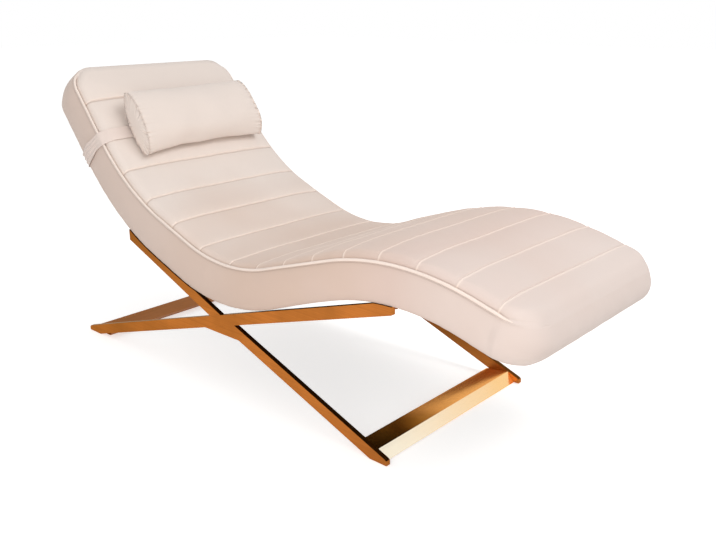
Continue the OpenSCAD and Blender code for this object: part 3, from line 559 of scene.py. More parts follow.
class Nodes:
    """A node tree, built a node at a time."""

    def __init__(self, tree):
        self.tree = tree

    def add(self, kind, links=(), **values):
        node = self.tree.nodes.new(kind)
        for key, value in values.items():
            setattr(node, key, value)
        for socket, source in dict(links).items():
            self.put(node, socket, source)
        return node

    def put(self, node, socket, source):
        target = node.inputs[socket]
        if isinstance(source, bpy.types.NodeSocket):
            self.tree.links.new(source, target)
        else:
            target.default_value = source

    def coordinates(self, kind="Object", scale=(1, 1, 1), turn=(0, 0, 0)):
        links = {"Vector": self.add("ShaderNodeTexCoord").outputs[kind], "Scale": scale, "Rotation": turn}
        return self.add("ShaderNodeMapping", links).outputs["Vector"]

    def noise(self, where, scale, detail=3.0, rough=0.5):
        return self.add(
            "ShaderNodeTexNoise", {"Vector": where, "Scale": scale, "Detail": detail, "Roughness": rough}
        ).outputs["Fac"]

    def span(self, value, low, high, to_low=0.0, to_high=1.0):
        return self.add("ShaderNodeMapRange", {
            "Value": value, "From Min": low, "From Max": high, "To Min": to_low, "To Max": to_high
        }).outputs["Result"]

    def mix(self, share, a, b, blend="MIX"):
        node = self.add("ShaderNodeMix", data_type="RGBA", blend_type=blend)
        self.put(node, 0, share)
        for index, value in ((6, a), (7, b)):
            if not isinstance(value, bpy.types.NodeSocket) and len(value) == 3:
                value = (*value, 1)
            self.put(node, index, value)
        return node.outputs[2]

    def maths(self, operation, a, b=0.0):
        node = self.add("ShaderNodeMath", operation=operation)
        self.put(node, 0, a)
        self.put(node, 1, b)
        return node.outputs[0]

    def bump(self, height, strength, distance, normal=None):
        node = self.add("ShaderNodeBump", {"Height": height, "Strength": strength, "Distance": distance})
        if normal is not None:
            self.put(node, "Normal", normal)
        return node.outputs["Normal"]

    def bands(self, where, width, way, distortion=0.0, **extra):
        """Bands of a width in metres across X, Y or Z."""
        links = {"Vector": where, "Scale": 0.314 / width, "Distortion": distortion, **extra}
        return self.add("ShaderNodeTexWave", links, wave_type="BANDS", bands_direction=way).outputs["Fac"]

    def axis(self, vector, way):
        return self.add("ShaderNodeSeparateXYZ", {"Vector": vector}).outputs[way]

    def attribute(self, name):
        return self.add("ShaderNodeAttribute", attribute_name=name).outputs["Fac"]

    def shown(self):
        """1 for what the camera sees, also in metal and through glass."""
        path = self.add("ShaderNodeLightPath").outputs
        seen = self.maths("MAXIMUM", path["Is Camera Ray"], path["Is Glossy Ray"])
        return self.maths("MAXIMUM", seen, path["Is Transmission Ray"])


class Shader(Nodes):
    """A new material with a Principled surface."""

    def __init__(self, name):
        self.material = bpy.data.materials.new(name)
        self.material.use_nodes = True
        super().__init__(self.material.node_tree)
        self.bsdf = self.tree.nodes["Principled BSDF"]

    def set(self, **values):
        for key, value in values.items():
            self.put(self.bsdf, key.replace("_", " "), value)


def cover_material(finish, name, head, sewn=False, weave=1.1 * MM, painted_light_along=True):
    """A soft woven cover: weave, slubs, painted light and shade that shift from head to foot, painted shade
    in the folds, a painted highlight on sewn ridges and a soft sheen.
    """
    m = Shader(name)
    uv = m.coordinates("UV")
    place = m.coordinates("Object")
    patch = m.noise(place, 11.0, 3.0)
    fibre = m.noise(uv, 700.0, 2.0, 0.6)
    base = tuple(head)
    if painted_light_along:
        cloud = m.span(m.noise(place, 2.6, 2.0), 0.3, 0.7, -0.12, 0.12)
        along = m.maths("ADD", m.axis(place, "X"), cloud)
        tone = base
        # from and to this far along the lounger, and the colour that begins there: painted shade in the seat
        # and on the leg rest, painted light at the foot end
        for start, end, rgb in (
            (-0.50, -0.02, finish.cover_seat_shade), (0.24, 0.52, finish.cover_leg_shade), (0.55, 0.85, finish.cover_foot_lit)
        ):
            tone = m.mix(m.span(along, start, end), tone, tuple(rgb))
    else:
        tone = m.mix(m.span(patch, 0.3, 0.7), base, shade(base, 0.95))
    tone = m.mix(m.span(patch, 0.3, 0.7, 0.0, 0.12), tone, shade(base, 0.9))
    tone = m.mix(m.span(fibre, 0.25, 0.75, 0.0, 0.10), tone, shade(base, 1.08))
    threads = [m.bands(uv, weave, way, 0.6, **{"Detail": 1.0, "Detail Scale": 2.0}) for way in "XY"]
    normal = m.bump(m.maths("MULTIPLY", *threads), 0.12, 0.00012)
    normal = m.bump(fibre, 0.18, 0.0002, normal)
    normal = m.bump(m.noise(place, 38.0, 4.0, 0.6), 0.16, 0.0016, normal)
    # painted shade: the fold attribute darkens the tone in folds, creases and at contact
    tone = m.mix(m.maths("MULTIPLY", m.attribute("fold"), 0.55), tone, shade(base, 0.60, 0.51, 0.46))
    if sewn:
        # painted highlight: the sewn attribute lightens the tone on the ridges
        line = m.attribute("sewn")
        tone = m.mix(m.maths("MULTIPLY", line, 0.8), tone, shade(base, 1.16, 1.13, 1.1))
        normal = m.bump(m.maths("MULTIPLY", line, m.bands(uv, STITCH, "Y")), 0.5, 0.0007, normal)
    m.set(Base_Color=tone, Roughness=m.span(patch, 0.3, 0.7, 0.62, 0.76), Normal=normal)
    m.set(Sheen_Weight=0.28, Sheen_Roughness=0.5, Sheen_Tint=(1.0, 0.95, 0.92, 1), Specular_IOR_Level=0.22)
    return m.material


def strap_material(finish):
    """Elastic web: ribs along its length and fine cross threads."""
    m = Shader("elastic_web")
    uv = m.coordinates("UV")
    rib, thread = m.bands(uv, 1.6 * MM, "Y", 0.3), m.bands(uv, 0.9 * MM, "X", 0.5)
    tone = m.mix(m.span(rib, 0.2, 0.8, 0.0, 0.2), tuple(finish.strap), shade(finish.strap, 0.88))
    normal = m.bump(thread, 0.25, 0.0002, m.bump(rib, 0.25, 0.0003))
    m.set(Base_Color=tone, Roughness=0.7, Normal=normal, Sheen_Weight=0.2, Specular_IOR_Level=0.25)
    return m.material


def bronze(finish, name, slope, across, painted_shade, brown):
    """Brushed bronze-tone metal with painted shade on upward faces, and on the front bar a painted reflection
    and a painted highlight; it turns brown between the two heights in brown, if there are any.
    """
    m = Shader(name)
    streaks = (420, 2.5, 420) if across else (2.5, 420, 420)
    streak = m.noise(m.coordinates("Object", streaks, (0, slope, 0)), 1.0, 5.0, 0.65)
    place = m.coordinates("Object")
    cloud = m.noise(place, 4.0, 4.0, 0.6)
    facing = m.add("ShaderNodeNewGeometry").outputs["Normal"]
    # painted shade on faces that point up, as strong as the share given
    upward = m.span(m.axis(facing, "Z"), 0.65, 0.74, 0.0, painted_shade)
    darker = m.span(cloud, 0.32, 0.62, 0.75, 0.0)
    if brown:
        darker = m.maths("MAXIMUM", darker, m.span(m.axis(place, "Z"), *brown))
    tone = m.mix(darker, tuple(finish.metal), tuple(finish.metal_brown))
    tone = m.mix(m.span(streak, 0.35, 0.65, 0.0, 0.5), tone, shade(finish.metal, 0.62))
    painted_reflection = name == PAINTED_REFLECTION_BAR
    if painted_reflection:
        # painted reflection: bright towards the far end, dark towards the near one, with a painted highlight
        # on the outer bevel
        side = m.maths("ADD", m.axis(place, "Y"), m.span(cloud, 0.3, 0.7, -0.03, 0.03))
        tone = m.mix(m.span(side, -0.14, 0.06), tone, tuple(finish.metal_painted_reflection))
        upward = m.maths("MULTIPLY", upward, m.span(side, -0.23, -0.02, 1.0, 0.0))
        square_to_bevel = (0.78, 0.0, 0.62)
        match = m.add("ShaderNodeVectorMath", {0: facing, 1: square_to_bevel}, operation="DOT_PRODUCT")
        bright = finish.metal_bevel_highlight
        painted_highlight = m.mix(m.span(side, -0.25, 0.25), tuple(bright), shade(bright, 1.0, 0.72, 0.42))
        # painted highlight on the faces square to the outer bevel
        tone = m.mix(m.span(match.outputs["Value"], 0.93, 0.98), tone, painted_highlight)
    # upward faces turn towards the painted shade colour
    tone = m.mix(upward, tone, tuple(finish.metal_upward_shade))
    rough = m.span(streak, 0.3, 0.7, *((0.12, 0.22) if painted_reflection else (0.30, 0.44)))
    normal = m.bump(m.noise(place, 90.0, 3.0), 0.05, 0.0004, m.bump(streak, 0.12, 0.0002))
    m.set(Base_Color=tone, Roughness=rough, Normal=normal, Metallic=0.4 if across and not painted_reflection else 0.9)
    m.set(Anisotropic=0.45, Specular_IOR_Level=0.2, Specular_Tint=(1.0, 0.72, 0.45, 1))
    return m.material


def plywood(finish):
    """Birch plywood: grain along the wave and thin veneer layers."""
    m = Shader("birch_plywood")
    grain = m.noise(m.coordinates("Object", (3, 60, 60)), 1.0, 6.0, 0.6)
    layer = m.bands(m.coordinates("Object"), 1.4 * MM, "Z", 1.5)
    tone = m.mix(m.span(grain, 0.3, 0.7), tuple(finish.ply), shade(finish.ply, 0.72))
    tone = m.mix(m.span(layer, 0.4, 0.6, 0.0, 0.2), tone, shade(finish.ply, 0.5))
    m.set(Base_Color=tone, Roughness=0.6, Normal=m.bump(grain, 0.2, 0.0004))
    return m.material


def plated(finish):
    """Zinc plating: dull spangle."""
    m = Shader("zinc_plate")
    spangle = m.noise(m.coordinates("Object"), 260.0, 4.0, 0.6)
    tone = m.mix(m.span(spangle, 0.3, 0.7), tuple(finish.zinc), shade(finish.zinc, 0.8))
    rough = m.span(spangle, 0.3, 0.7, 0.28, 0.45)
    m.set(Base_Color=tone, Metallic=1.0, Roughness=rough, Normal=m.bump(spangle, 0.1, 0.0002))
    return m.material


def matt_black(name, scale, depth, rough):
    """Black rubber or base cloth: a grain of its own scale."""
    m = Shader(name)
    grain = m.noise(m.coordinates("Object"), scale, 5.0, 0.7)
    tone = m.mix(m.span(grain, 0.3, 0.7), (0.012, 0.011, 0.011), (0.03, 0.028, 0.027))
    m.set(Base_Color=tone, Roughness=rough, Normal=m.bump(grain, 0.5, depth), Specular_IOR_Level=0.3)
    return m.material


# Pieces


def roll_places(line):
    """Distances from the outline, closer where the edge rolls up."""
    rim, reach = line.rim_w, line.p.edge_reach
    rolled = [rim + (reach - rim) * (1 - math.cos(t)) for t in np.linspace(0, math.pi / 2, 10)]
    return np.array([0, 0.35 * rim, 0.75 * rim, *rolled])


def top_stations(line):
    """Stations along the cushion, closer at the ends and beside each sewn line."""
    r = line.p.corner_r
    head = np.concatenate([roll_places(line), np.arange(line.p.edge_reach + 4 * MM, r, 5 * MM), [r]])
    beside = np.array([0, 0.9, 1.8, 2.8, 4, 5.5, 7.5, 10, 14, 19, 25, 33, 43, 55]) * MM
    middle = list(np.arange(r, line.length - r, 12 * MM))
    for c in line.channels[1:-1]:
        middle += list(c + beside) + list(c - beside[1:])
    middle = np.unique(np.round([s for s in middle if r + MM < s < line.length - r - MM], 5))
    keep = [middle[0]]
    for s in middle[1:]:
        if s - keep[-1] > 0.8 * MM:
            keep.append(s)
    return np.concatenate([head, keep, line.length - head[::-1]])


class LOUNGER_OT_top(bpy.types.Operator):
    """The quilted panel: channels, sewn lines with puckers, and the rolled edge inside the piping"""

    bl_idname = "lounger.quilted_top"
    bl_label = "Quilted top"

    def execute(self, context):
        line = wave(context)
        edges = np.concatenate([roll_places(line), [42 * MM, 52 * MM, 64 * MM, 78 * MM]])
        stations = top_stations(line)
        inner = np.linspace(-1, 1, 49)[1:-1]
        s = stations[:, None]
        near = np.stack([-line.contour(stations, e) for e in edges], 1)
        span = line.contour(stations, edges[-1])[:, None]
        v = np.concatenate([near, inner * span, -near[:, ::-1]], 1)
        w, sewn, fold = line.top(s + 0 * v, v)
        rim = line.contour(stations, 0.0)
        # under the rim: straight down beside the cord, and at the ends on over the seam to the bulging wall
        fall = line.waterfall(stations)
        r = line.p.corner_r
        ahead = np.clip((stations - line.length + r) / r, 0, 1) - np.clip((r - stations) / r, 0, 1)
        out = np.where(stations > line.length / 2, 1.9, 0.4) * MM * fall
        low_v = rim + out * np.sqrt(1 - ahead ** 2)
        down = -line.p.seam_t - 1.0 * MM * fall
        low = line.spot((stations + out * ahead)[:, None], np.stack([low_v, -low_v], 1), down[:, None])
        rings = np.concatenate([line.spot(s, v, w), low], 1)
        ends = []
        for place, row in ((-0.4 * MM, 0), (line.length + 1.9 * MM, -1)):
            ends.append(line.spot(place, np.append(v[row], [rim[row], -rim[row]]), -line.p.seam_t - 1.0 * MM))
            ends[-1][-2:, 2] -= 0.3 * MM
        rings = np.concatenate([ends[0][None], rings, ends[1][None]])
        across = np.concatenate([v[len(v) // 2], line.half_w + np.array([1, 2, 3]) * MM])
        run = np.concatenate([[-3 * MM], stations, [line.length + 3 * MM]])
        obj = loft("Quilted_top", rings, run, across)
        # sewn carries the painted highlight, fold the painted shade
        for name, values in (("sewn", sewn), ("fold", fold)):
            mark(obj, name, np.pad(values, ((1, 1), (0, 2))))
        finish = context.scene.lounger_finish
        material = cover_material(finish, "cover_cloth", finish.cover, sewn=True)
        settle(obj, LOUNGER, material, ("quilted_top", "foam_topper", "foam_core"))
        return {"FINISHED"}


class LOUNGER_OT_walls(bpy.types.Operator):
    """The padded side wall that runs round the cushion under the piping"""

    bl_idname = "lounger.side_wall"
    bl_label = "Side wall"

    def execute(self, context):
        line = wave(context)
        p = line.p
        rows, run = line.outline(7 * MM, 18)
        s, v, ds, dv = (rows[:, i:i + 1] for i in range(4))
        t = line.thick(s)
        along = run[:-1, None]
        shares = np.array([0, 2, 5, 10, 17, 26, 36, 46, 56, 66, 75, 83, 89, 94, 97, 99]) / 100
        out = line.foot_wall(shares, np.arcsin(np.clip(ds, 0, 1)))
        fall = line.waterfall(s)
        top_depth = p.seam_t * (1 - fall)
        depth = top_depth + (t - top_depth) * shares
        # soft dunes, and pulls under the piping and over the staples
        soft = np.sin(math.pi * shares) ** 0.7
        uneven = p.wall_unevenness * dunes(along, depth, 0.42, 21) + 0.35 * MM * dunes(along, depth, 0.09, 22)
        out = out + uneven * soft
        under_piping = np.exp(-shares / 0.12) * np.clip(shares / 0.03, 0, 1) * (1 - fall)
        out = out + p.wall_pull * sines(along, (0.035, 0.058, 0.022, 0.09), 31) * under_piping
        out = out + p.staple_pull * sines(along, (0.047, 0.028, 0.075), 32) * np.exp(-(1 - shares) / 0.12)
        # creases on the long sides where the line bends: place along the seam, width and depth
        on_side = np.abs(np.abs(v) - line.half_w) < MM
        lean = 0.08 * (shares - 0.5) * p.seat_t
        for crease_s, width, crease_depth in (
            (0.905, 10 * MM, 1.6 * MM), (0.860, 30 * MM, 0.9 * MM), (1.320, 50 * MM, 0.8 * MM)
        ):
            out = out - on_side * crease_depth * bell(s - crease_s + lean, width) * soft
        # the rounded lower edge, and back up behind the wall
        low_r = 7 * MM
        curl = np.linspace(0, math.pi / 2, 5)[1:]
        low_out = out[:, -1:] - low_r * (1 - np.cos(curl)) * 0.9
        low_depth = depth[:, -1:] + (t - 0.4 * MM - depth[:, -1:]) * np.sin(curl)
        # the last point lies under the panel's roll at the ends, so that the two run into each other
        under_panel = (0.3 + 2.4 * fall) * MM
        inner_out = np.array([-0.8, -1, -1, 0]) * p.boxing_t - np.array([0, 0, 0, 1]) * under_panel
        tucked = p.seam_t + 0.2 * MM
        tucked = tucked - fall * (line.swell(2.7 * MM, 1.0, s > line.length / 2) + p.seam_t - 0.15 * MM)
        inner_depth = np.concatenate([t - 0.4 * MM, t - 2 * MM, p.seam_t + 3 * MM + 0 * s, tucked], 1)
        outs = np.concatenate([out, low_out, inner_out], 1)
        depths = np.concatenate([depth, low_depth, inner_depth], 1)
        rings = line.spot(s + ds * outs, v + dv * outs, -depths)
        across = run_of(np.stack([outs[0], depths[0]], 1))
        obj = loft("Side_wall", rings, run, np.append(across, across[-1] + 10 * MM), loop=True)
        # painted shade under the piping and along the lower edge, stored as the fold attribute
        crease = np.exp(-depths / (3.0 * MM)) * 1.4 * (1 - fall) + 0.5 * bell(t - depths, 7 * MM)
        mark(obj, "fold", np.clip(crease, 0, 1))
        finish = context.scene.lounger_finish
        # the wall's colour carries painted shade
        material = cover_material(finish, "wall_cloth", finish.cover_wall_shade)
        lengths = ("boxing_near", "boxing_far", "boxing_head", "boxing_foot")
        settle(obj, LOUNGER, material, lengths)
        return {"FINISHED"}


class LOUNGER_OT_piping(bpy.types.Operator):
    """The covered cord on the seam between the quilted panel and the wall"""

    bl_idname = "lounger.piping"
    bl_label = "Piping"

    def execute(self, context):
        line = wave(context)
        full = line.p.piping_r
        rows, run = line.outline(5 * MM, 22)
        s, v, ds, dv = (rows[:, i:i + 1] for i in range(4))
        turns = np.linspace(0, 2 * math.pi, 15)[:-1]
        sunk = line.waterfall(s)
        uneven = 1 + 0.035 * sines(run[:-1, None], (0.031, 0.013, 0.07), 41)
        radius = line.p.cord_share * full * uneven * (1 - 0.8 * sunk)
        # the cord leans on the wall, its cover is drawn down into the seam, and both sink at the ends
        o = radius * (np.cos(turns) - 1) - 4 * MM * sunk
        drawn = 1.0 * MM * (np.sin(turns) < -0.5) * (1 - sunk)
        w = full * (0.75 - 1.15 * sunk) + radius * np.sin(turns) - drawn
        across = np.arange(len(turns) + 1) * 2 * math.pi * full / len(turns)
        obj = loft("Piping", line.spot(s + ds * o, v + dv * o, w), run, across, loop=True)
        finish = context.scene.lounger_finish
        material = cover_material(finish, "piping_cloth", finish.piping, weave=0.9 * MM, painted_light_along=False)
        settle(obj, LOUNGER, material, ("piping_cord",))
        return {"FINISHED"}


class LOUNGER_OT_base_cloth(bpy.types.Operator):
    """The black cloth that closes the underside"""

    bl_idname = "lounger.base_cloth"
    bl_label = "Base cloth"

    def execute(self, context):
        line = wave(context)
        first = line.p.boxing_t + 1 * MM
        last = line.length - first
        inner = np.arange(first + 12 * MM, last - 8 * MM, 10 * MM)
        s = np.concatenate([[first, first + 4 * MM], inner, [last - 4 * MM, last]])
        wide = line.contour(s, first)
        v = np.linspace(-1, 1, 61) * wide[:, None]
        w = -line.thick(s)[:, None] + 0.1 * MM
        low, high = (line.spot(s[:, None], v, w + up) for up in (0, 0.7 * MM))
        obj = slab("Base_cloth", low, high, s, v[len(v) // 2])
        run = run_of(line.spot(s, 0.0, -line.thick(s)))
        material = matt_black("base_cloth", 900.0, 0.0004, 0.95)
        settle(obj, LOUNGER, material, ("underside_cover",))
        return {"FINISHED"}


def bolster_section(b, turns, f):
    """The bolster's section in the plane of the backrest, before it rests; f is -1 near and 1 far."""
    c, q = np.cos(turns), np.sin(turns)
    waist = b.waist * (1 - 0.7 * math.exp(-(1 + f) / 0.28) - 0.22 * math.exp(-(1 - f) / 0.12))
    upper = -9 * MM * max(0, f) ** 2
    lower = ease(0.5 + 2 * c)
    x = (b.height / 2 - lower * waist - (1 - lower) * upper) * c
    z = b.depth / 2 * q * (1 - 0.12 * c ** 4) * (1 - 0.13 * math.exp(-(1 + f) / 0.5))
    return x * math.cos(b.tilt) + z * math.sin(b.tilt), z * math.cos(b.tilt) - x * math.sin(b.tilt)


def gathers(b, turns, seed, number):
    """Sharp gathers round an end seam, 0 to 1, each a little off its place."""
    rng = np.random.default_rng(seed)
    centres = (np.arange(number) + rng.uniform(-0.35, 0.35, number)) * 2 * math.pi / number
    strength = rng.uniform(0.35, 1.0, number)
    apart = np.abs((turns[:, None] - centres + math.pi) % (2 * math.pi) - math.pi) * b.seam_r
    return np.clip((strength * bell(apart, 1.9 * MM)).sum(1), 0, 1)


def rest_height(line, b, x):
    """Height over which the bolster lies, along its section."""
    crown = line.p.edge_rise + line.p.crown_rise
    past = np.maximum(0, b.place_s + x - line.p.back_len)
    return crown + b.strap_gap + b.strap_t + past ** 2 / (2 * line.p.back_r)


class LOUNGER_OT_bolster(bpy.types.Operator):
    """The stuffed bolster: soft body, sewn end panels with a raised seam and gathers"""

    bl_idname = "lounger.bolster"
    bl_label = "Bolster"

    def execute(self, context):
        line = wave(context)
        b = context.scene.lounger_bolster
        half = b.width / 2 - 2 * MM
        mid = float(rest_height(line, b, np.array(-1.0))) + b.depth / 2 * 0.92
        turns = np.linspace(0, 2 * math.pi, 361)[:-1]
        # near and far end: a soft ripple round the seam, many short gathers and a few that run on
        ripples = [sines(turns, [2 * math.pi / n for n in counts], seed) for counts, seed in (
            ((19, 27, 34, 45), 61), ((17, 29, 36, 43), 62)
        )]
        short = [gathers(b, turns, 64, 30), 0.45 * gathers(b, turns, 65, 24)]
        long = [gathers(b, turns, 66, 17), 0.7 * gathers(b, turns, 67, 15)]
        folds, contact_shadow = [], []

        def ring(f, y, shrink, wrinkle):
            """One ring, laid on the cushion: f along the bolster, y across the lounger."""
            x, z = bolster_section(b, turns, f)
            k = shrink + wrinkle / np.hypot(x, z)
            x, z = x * k, mid + z * k
            floor = rest_height(line, b, x)
            soft = 5 * MM
            z = 0.5 * (z + floor + np.hypot(z - floor, soft)) - 0.35 * soft * bell(z - floor, soft)
            # painted contact shadow where the bolster lies on the cushion
            contact_shadow.append(np.exp(-np.maximum(z - floor, 0) / soft))
            y = y + ease(2 * f - 1) * (3 + 8 * np.cos(turns)) * MM
            return line.back_point(x, b.shift + y, z, b.place_s)

        def drawn_in(far, gap):
            """The gathers at a distance from the seam."""
            return short[far] * math.exp(-gap / (6 * MM)) + long[far] * math.exp(-gap / (19 * MM))

        def end(side, far):
            """The rings of an end panel, from the seam to its centre."""
            out, ripple = [], ripples[far]
            for r in (0.985, 0.96, 0.92, 0.86, 0.78, 0.68, 0.56, 0.42, 0.28, 0.15, 0.05):
                gap = (1 - r) * b.seam_r
                crease = drawn_in(far, gap)
                relief = 5.0 * MM * ripple * r ** 3 - b.end_gather * crease
                reach = half + b.end_swell * (1 - r ** 2.6) ** 0.8 - 2.5 * MM + relief
                out.append(ring(side, side * reach, 0.955 * r, 1.5 * MM * ripple * r ** 4))
                # painted shade in the gathers and beside the end seam
                folds.append(0.4 * crease + (0.1 if far else 0.3) * math.exp(-gap / (2 * MM)))
            return out

        near = end(-1, 0)[::-1]
        folds, contact_shadow = folds[::-1], contact_shadow[::-1]
        gaps = np.array([0, 1.2, 2.4, 4, 6, 9, 13, 18, 25, 34, 45, 60]) * MM / half
        middle = []
        for f in np.concatenate([gaps - 1, np.linspace(-0.68, 0.68, 25), 1 - gaps[::-1]]):
            gap, far = (1 - abs(f)) * half, int(f > 0)
            ridge = b.seam_rise * bell(gap, 2.0 * MM)
            drawn = 1 - 0.05 * bell(gap - 4 * MM, 5 * MM) - 0.02 * math.exp(-gap / (30 * MM))
            wrinkle = 4.5 * MM * ripples[far] * math.exp(-gap / (15 * MM))
            wrinkle = wrinkle * (1 - 0.7 * math.exp(-gap / (2.5 * MM)))
            crease = drawn_in(far, gap) * (1 - math.exp(-(gap + 0.6 * MM) / (1.6 * MM)))
            soft = b.unevenness * dunes(turns * 0.11, f * half + 0 * turns, 0.16, 63)
            middle.append(ring(f, f * half, drawn, wrinkle + ridge + soft - b.side_gather * crease))
            # painted shade in the gathers and beside the seam ridge, weaker at the far end
            folds.append((0.5 * crease + 0.45 * bell(gap - 4 * MM, 2.2 * MM)) * (0.35 if far else 1))
        rings = np.array(near + middle + end(1, 1))
        middle_ring = rings[len(rings) // 2]
        across = run_of(np.concatenate([middle_ring, middle_ring[:1]]))
        obj = loft("Bolster", rings, run_of(rings[:, 0]), across)
        # the fold attribute: painted shade in the gathers plus the painted contact shadow
        mark(obj, "fold", np.clip([f + 1.2 * c for f, c in zip(folds, contact_shadow)], 0, 1))
        finish = context.scene.lounger_finish
        material = cover_material(finish, "bolster_cloth", finish.cover)
        pillow = ("pillow_fill", "pillow_cover", "pillow_end_near", "pillow_end_far")
        settle(obj, HEADREST, material, pillow)
        return {"FINISHED"}


def hull_path(points):
    """The outer chain of a set of points, from the first to the last, as a taut band lies."""
    keep = []
    for q in points:
        while len(keep) >= 2:
            (ax, ay), (bx, by) = keep[-2], keep[-1]
            if (bx - ax) * (q[1] - ay) - (by - ay) * (q[0] - ax) >= 0:
                keep.pop()
            else:
                break
        keep.append(tuple(q))
    return np.array(keep)


def smoothed(path, step, rounds):
    """A path in even steps, with its corners smoothed."""
    run = run_of(path)
    places = np.linspace(0, run[-1], max(2, int(run[-1] / step)))
    path = np.stack([np.interp(places, run, path[:, i]) for i in range(path.shape[1])], 1)
    for _ in range(rounds):
        path[1:-1] = 0.25 * path[:-2] + 0.5 * path[1:-1] + 0.25 * path[2:]
    return path


class LOUNGER_OT_straps(bpy.types.Operator):
    """The elastic strap: flat beside the bolster, gathered over the piping and down the wall"""

    bl_idname = "lounger.straps"
    bl_label = "Elastic strap"

    def execute(self, context):
        line = wave(context)
        b = context.scene.lounger_bolster
        material = strap_material(context.scene.lounger_finish)
        half, t, r, seam = line.half_w, line.p.back_t, line.p.piping_r, line.p.seam_t
        for name, node, side, extra in (
            ("Strap_near", "strap_near", -1, 0), ("Strap_far", "strap_far", 1, b.strap_t + 2 * b.tape_t)
        ):
            # the way of the band, across and up: over panel, cord and wall, and back behind the backrest
            y = np.linspace(b.width / 2 + side * b.shift - b.strap_sewn, half - line.rim_w, 40)
            turns = np.linspace(math.pi * 0.7, 0, 9)
            f = np.linspace(0.02, 1, 24)
            way = np.concatenate([
                np.stack([y, line.swell(half - y)], 1),
                np.stack([half - r + r * np.cos(turns), 0.9 * r + r * np.sin(turns)], 1),
                np.stack([half + line.wall_out(f) + line.p.wall_unevenness, -seam - (t - seam) * f], 1),
                [[half - 100 * MM, -t - extra], [-b.strap_overlap / 2, -t - extra]],
            ])
            path = smoothed(hull_path(way), 2.5 * MM, 3)
            tangent = np.gradient(path, axis=0)
            tangent /= np.linalg.norm(tangent, axis=1)[:, None]
            normal = np.stack([-tangent[:, 1], tangent[:, 0]], 1)
            # folds and spread of the band, by the length run beyond its turn over the cord
            run = run_of(path)
            past = run - run[int(np.argmax(path[:, 0]))] + 0.03
            gathered = (ease((past + 0.035) / 0.05) * (1 - ease((past - 0.10) / 0.05)))[:, None]
            spread = (ease((past + 0.01) / 0.05) * (1 - ease((past - 0.16) / 0.06)))[:, None]
            x = np.linspace(-b.strap_w / 2, b.strap_w / 2, 34)
            along = run[:, None]
            turns = x / b.strap_fold_w + 0.3 * np.sin(along / 0.04)
            fold = (0.5 + 0.5 * np.cos(2 * math.pi * turns)) ** 1.8
            fold = fold * (0.65 + 0.35 * sines(along + 3 * x, (0.05, 0.083), 71 + side))
            height = b.strap_fold * fold * gathered + 0.25 * MM * (1 + dunes(along, x, 0.05, 73))
            slip = x * (0.27 * spread - 0.12) - 3.0 * MM * gathered * np.sin(math.pi * x / b.strap_w)
            down = x + slip - b.strap_lift
            faces = []
            for offset in (b.strap_gap + b.strap_t + height, b.strap_gap + 0.6 * height):
                place = path[:, None] + offset[..., None] * normal[:, None]
                faces.append(line.back_point(down, side * place[..., 0], place[..., 1], b.place_s))
            obj = slab(name, *faces, run, x)
            settle(obj, HEADREST, material, (node,))
        return {"FINISHED"}


class LOUNGER_OT_tapes(bpy.types.Operator):
    """The hook and loop tapes that join the strap behind the backrest"""

    bl_idname = "lounger.tapes"
    bl_label = "Fastening tapes"

    def execute(self, context):
        line = wave(context)
        b = context.scene.lounger_bolster
        strap = context.scene.lounger_finish.strap
        half_w, half_l = b.strap_w / 2, b.strap_overlap / 2 - MM
        for name, node, layer, coarse in (
            ("Loop_tape", "strap_loop_tape", 1, 900.0), ("Hook_tape", "strap_hook_tape", 2, 520.0)
        ):
            m = Shader(name.lower())
            pile = m.noise(m.coordinates("Object"), coarse, 4.0, 0.8)
            tone = m.mix(m.span(pile, 0.3, 0.7), shade(strap, 0.7), tuple(strap))
            m.set(Base_Color=tone, Roughness=0.9, Normal=m.bump(pile, 0.8, 0.0008), Sheen_Weight=0.3)
            middle = -line.p.back_t - b.strap_gap - b.strap_t - (layer - 0.5) * b.tape_t
            x, y = np.linspace(-1, 1, 27) * half_w, np.linspace(-1, 1, 57) * half_l
            edge = np.minimum(half_w - np.abs(x), half_l - np.abs(y[:, None]))
            sewn = 0.25 * MM * bell(edge - 4 * MM, 0.9 * MM)
            full = (b.tape_t / 2 - 0.1 * MM) * (1 - 0.5 * np.exp(-edge / (0.8 * MM))) - sewn
            down, levels = x - b.strap_lift + 0 * full, (middle + full, middle - full)
            faces = [line.back_point(down, y[:, None], z, b.place_s) for z in levels]
            settle(slab(name, *faces, y, x), HEADREST, m.material, (node,))
        return {"FINISHED"}


# Base, fittings and stage


class LOUNGER_OT_metal(bpy.types.Operator):
    """Brushed bronze finish and broken edges on the base's bars and rails"""

    bl_idname = "lounger.metal_base"
    bl_label = "Metal base"

    def execute(self, context):
        # material, slope in degrees, streaks across the lounger, share of painted shade on upward faces,
        # heights between which it turns brown, nodes
        for name, slope, across, painted_shade, brown, nodes in (
            ("bronze_cross_leg", 17.2, False, 0.9, None, ("cross_leg_near", "cross_leg_far")),
            ("bronze_saddle_leg", -43.0, False, 0.9, (0.22, 0.42), ("saddle_leg_near", "saddle_leg_far")),
            ("bronze_front_leg", -20.5, False, 0.9, None, ("front_leg_near", "gusset_near", "gusset_far")),
            ("bronze_front_leg_far", -20.5, False, 0.9, (0.02, 0.10), ("front_leg_far",)),
            (PAINTED_REFLECTION_BAR, 0.0, True, 0.95, None, ("front_floor_bar",)),
            ("bronze_cross_bar", 0.0, True, 0.1, (0.15, 0.2), (
                "rear_floor_bar", "back_cross_rail", "lap_cross_rail", "knee_cross_rail"
            )),
        ):
            material = bronze(context.scene.lounger_finish, name, math.radians(slope), across, painted_shade, brown)
            for node in nodes:
                finish_node(node, material, 0.9 * MM)
        return {"FINISHED"}


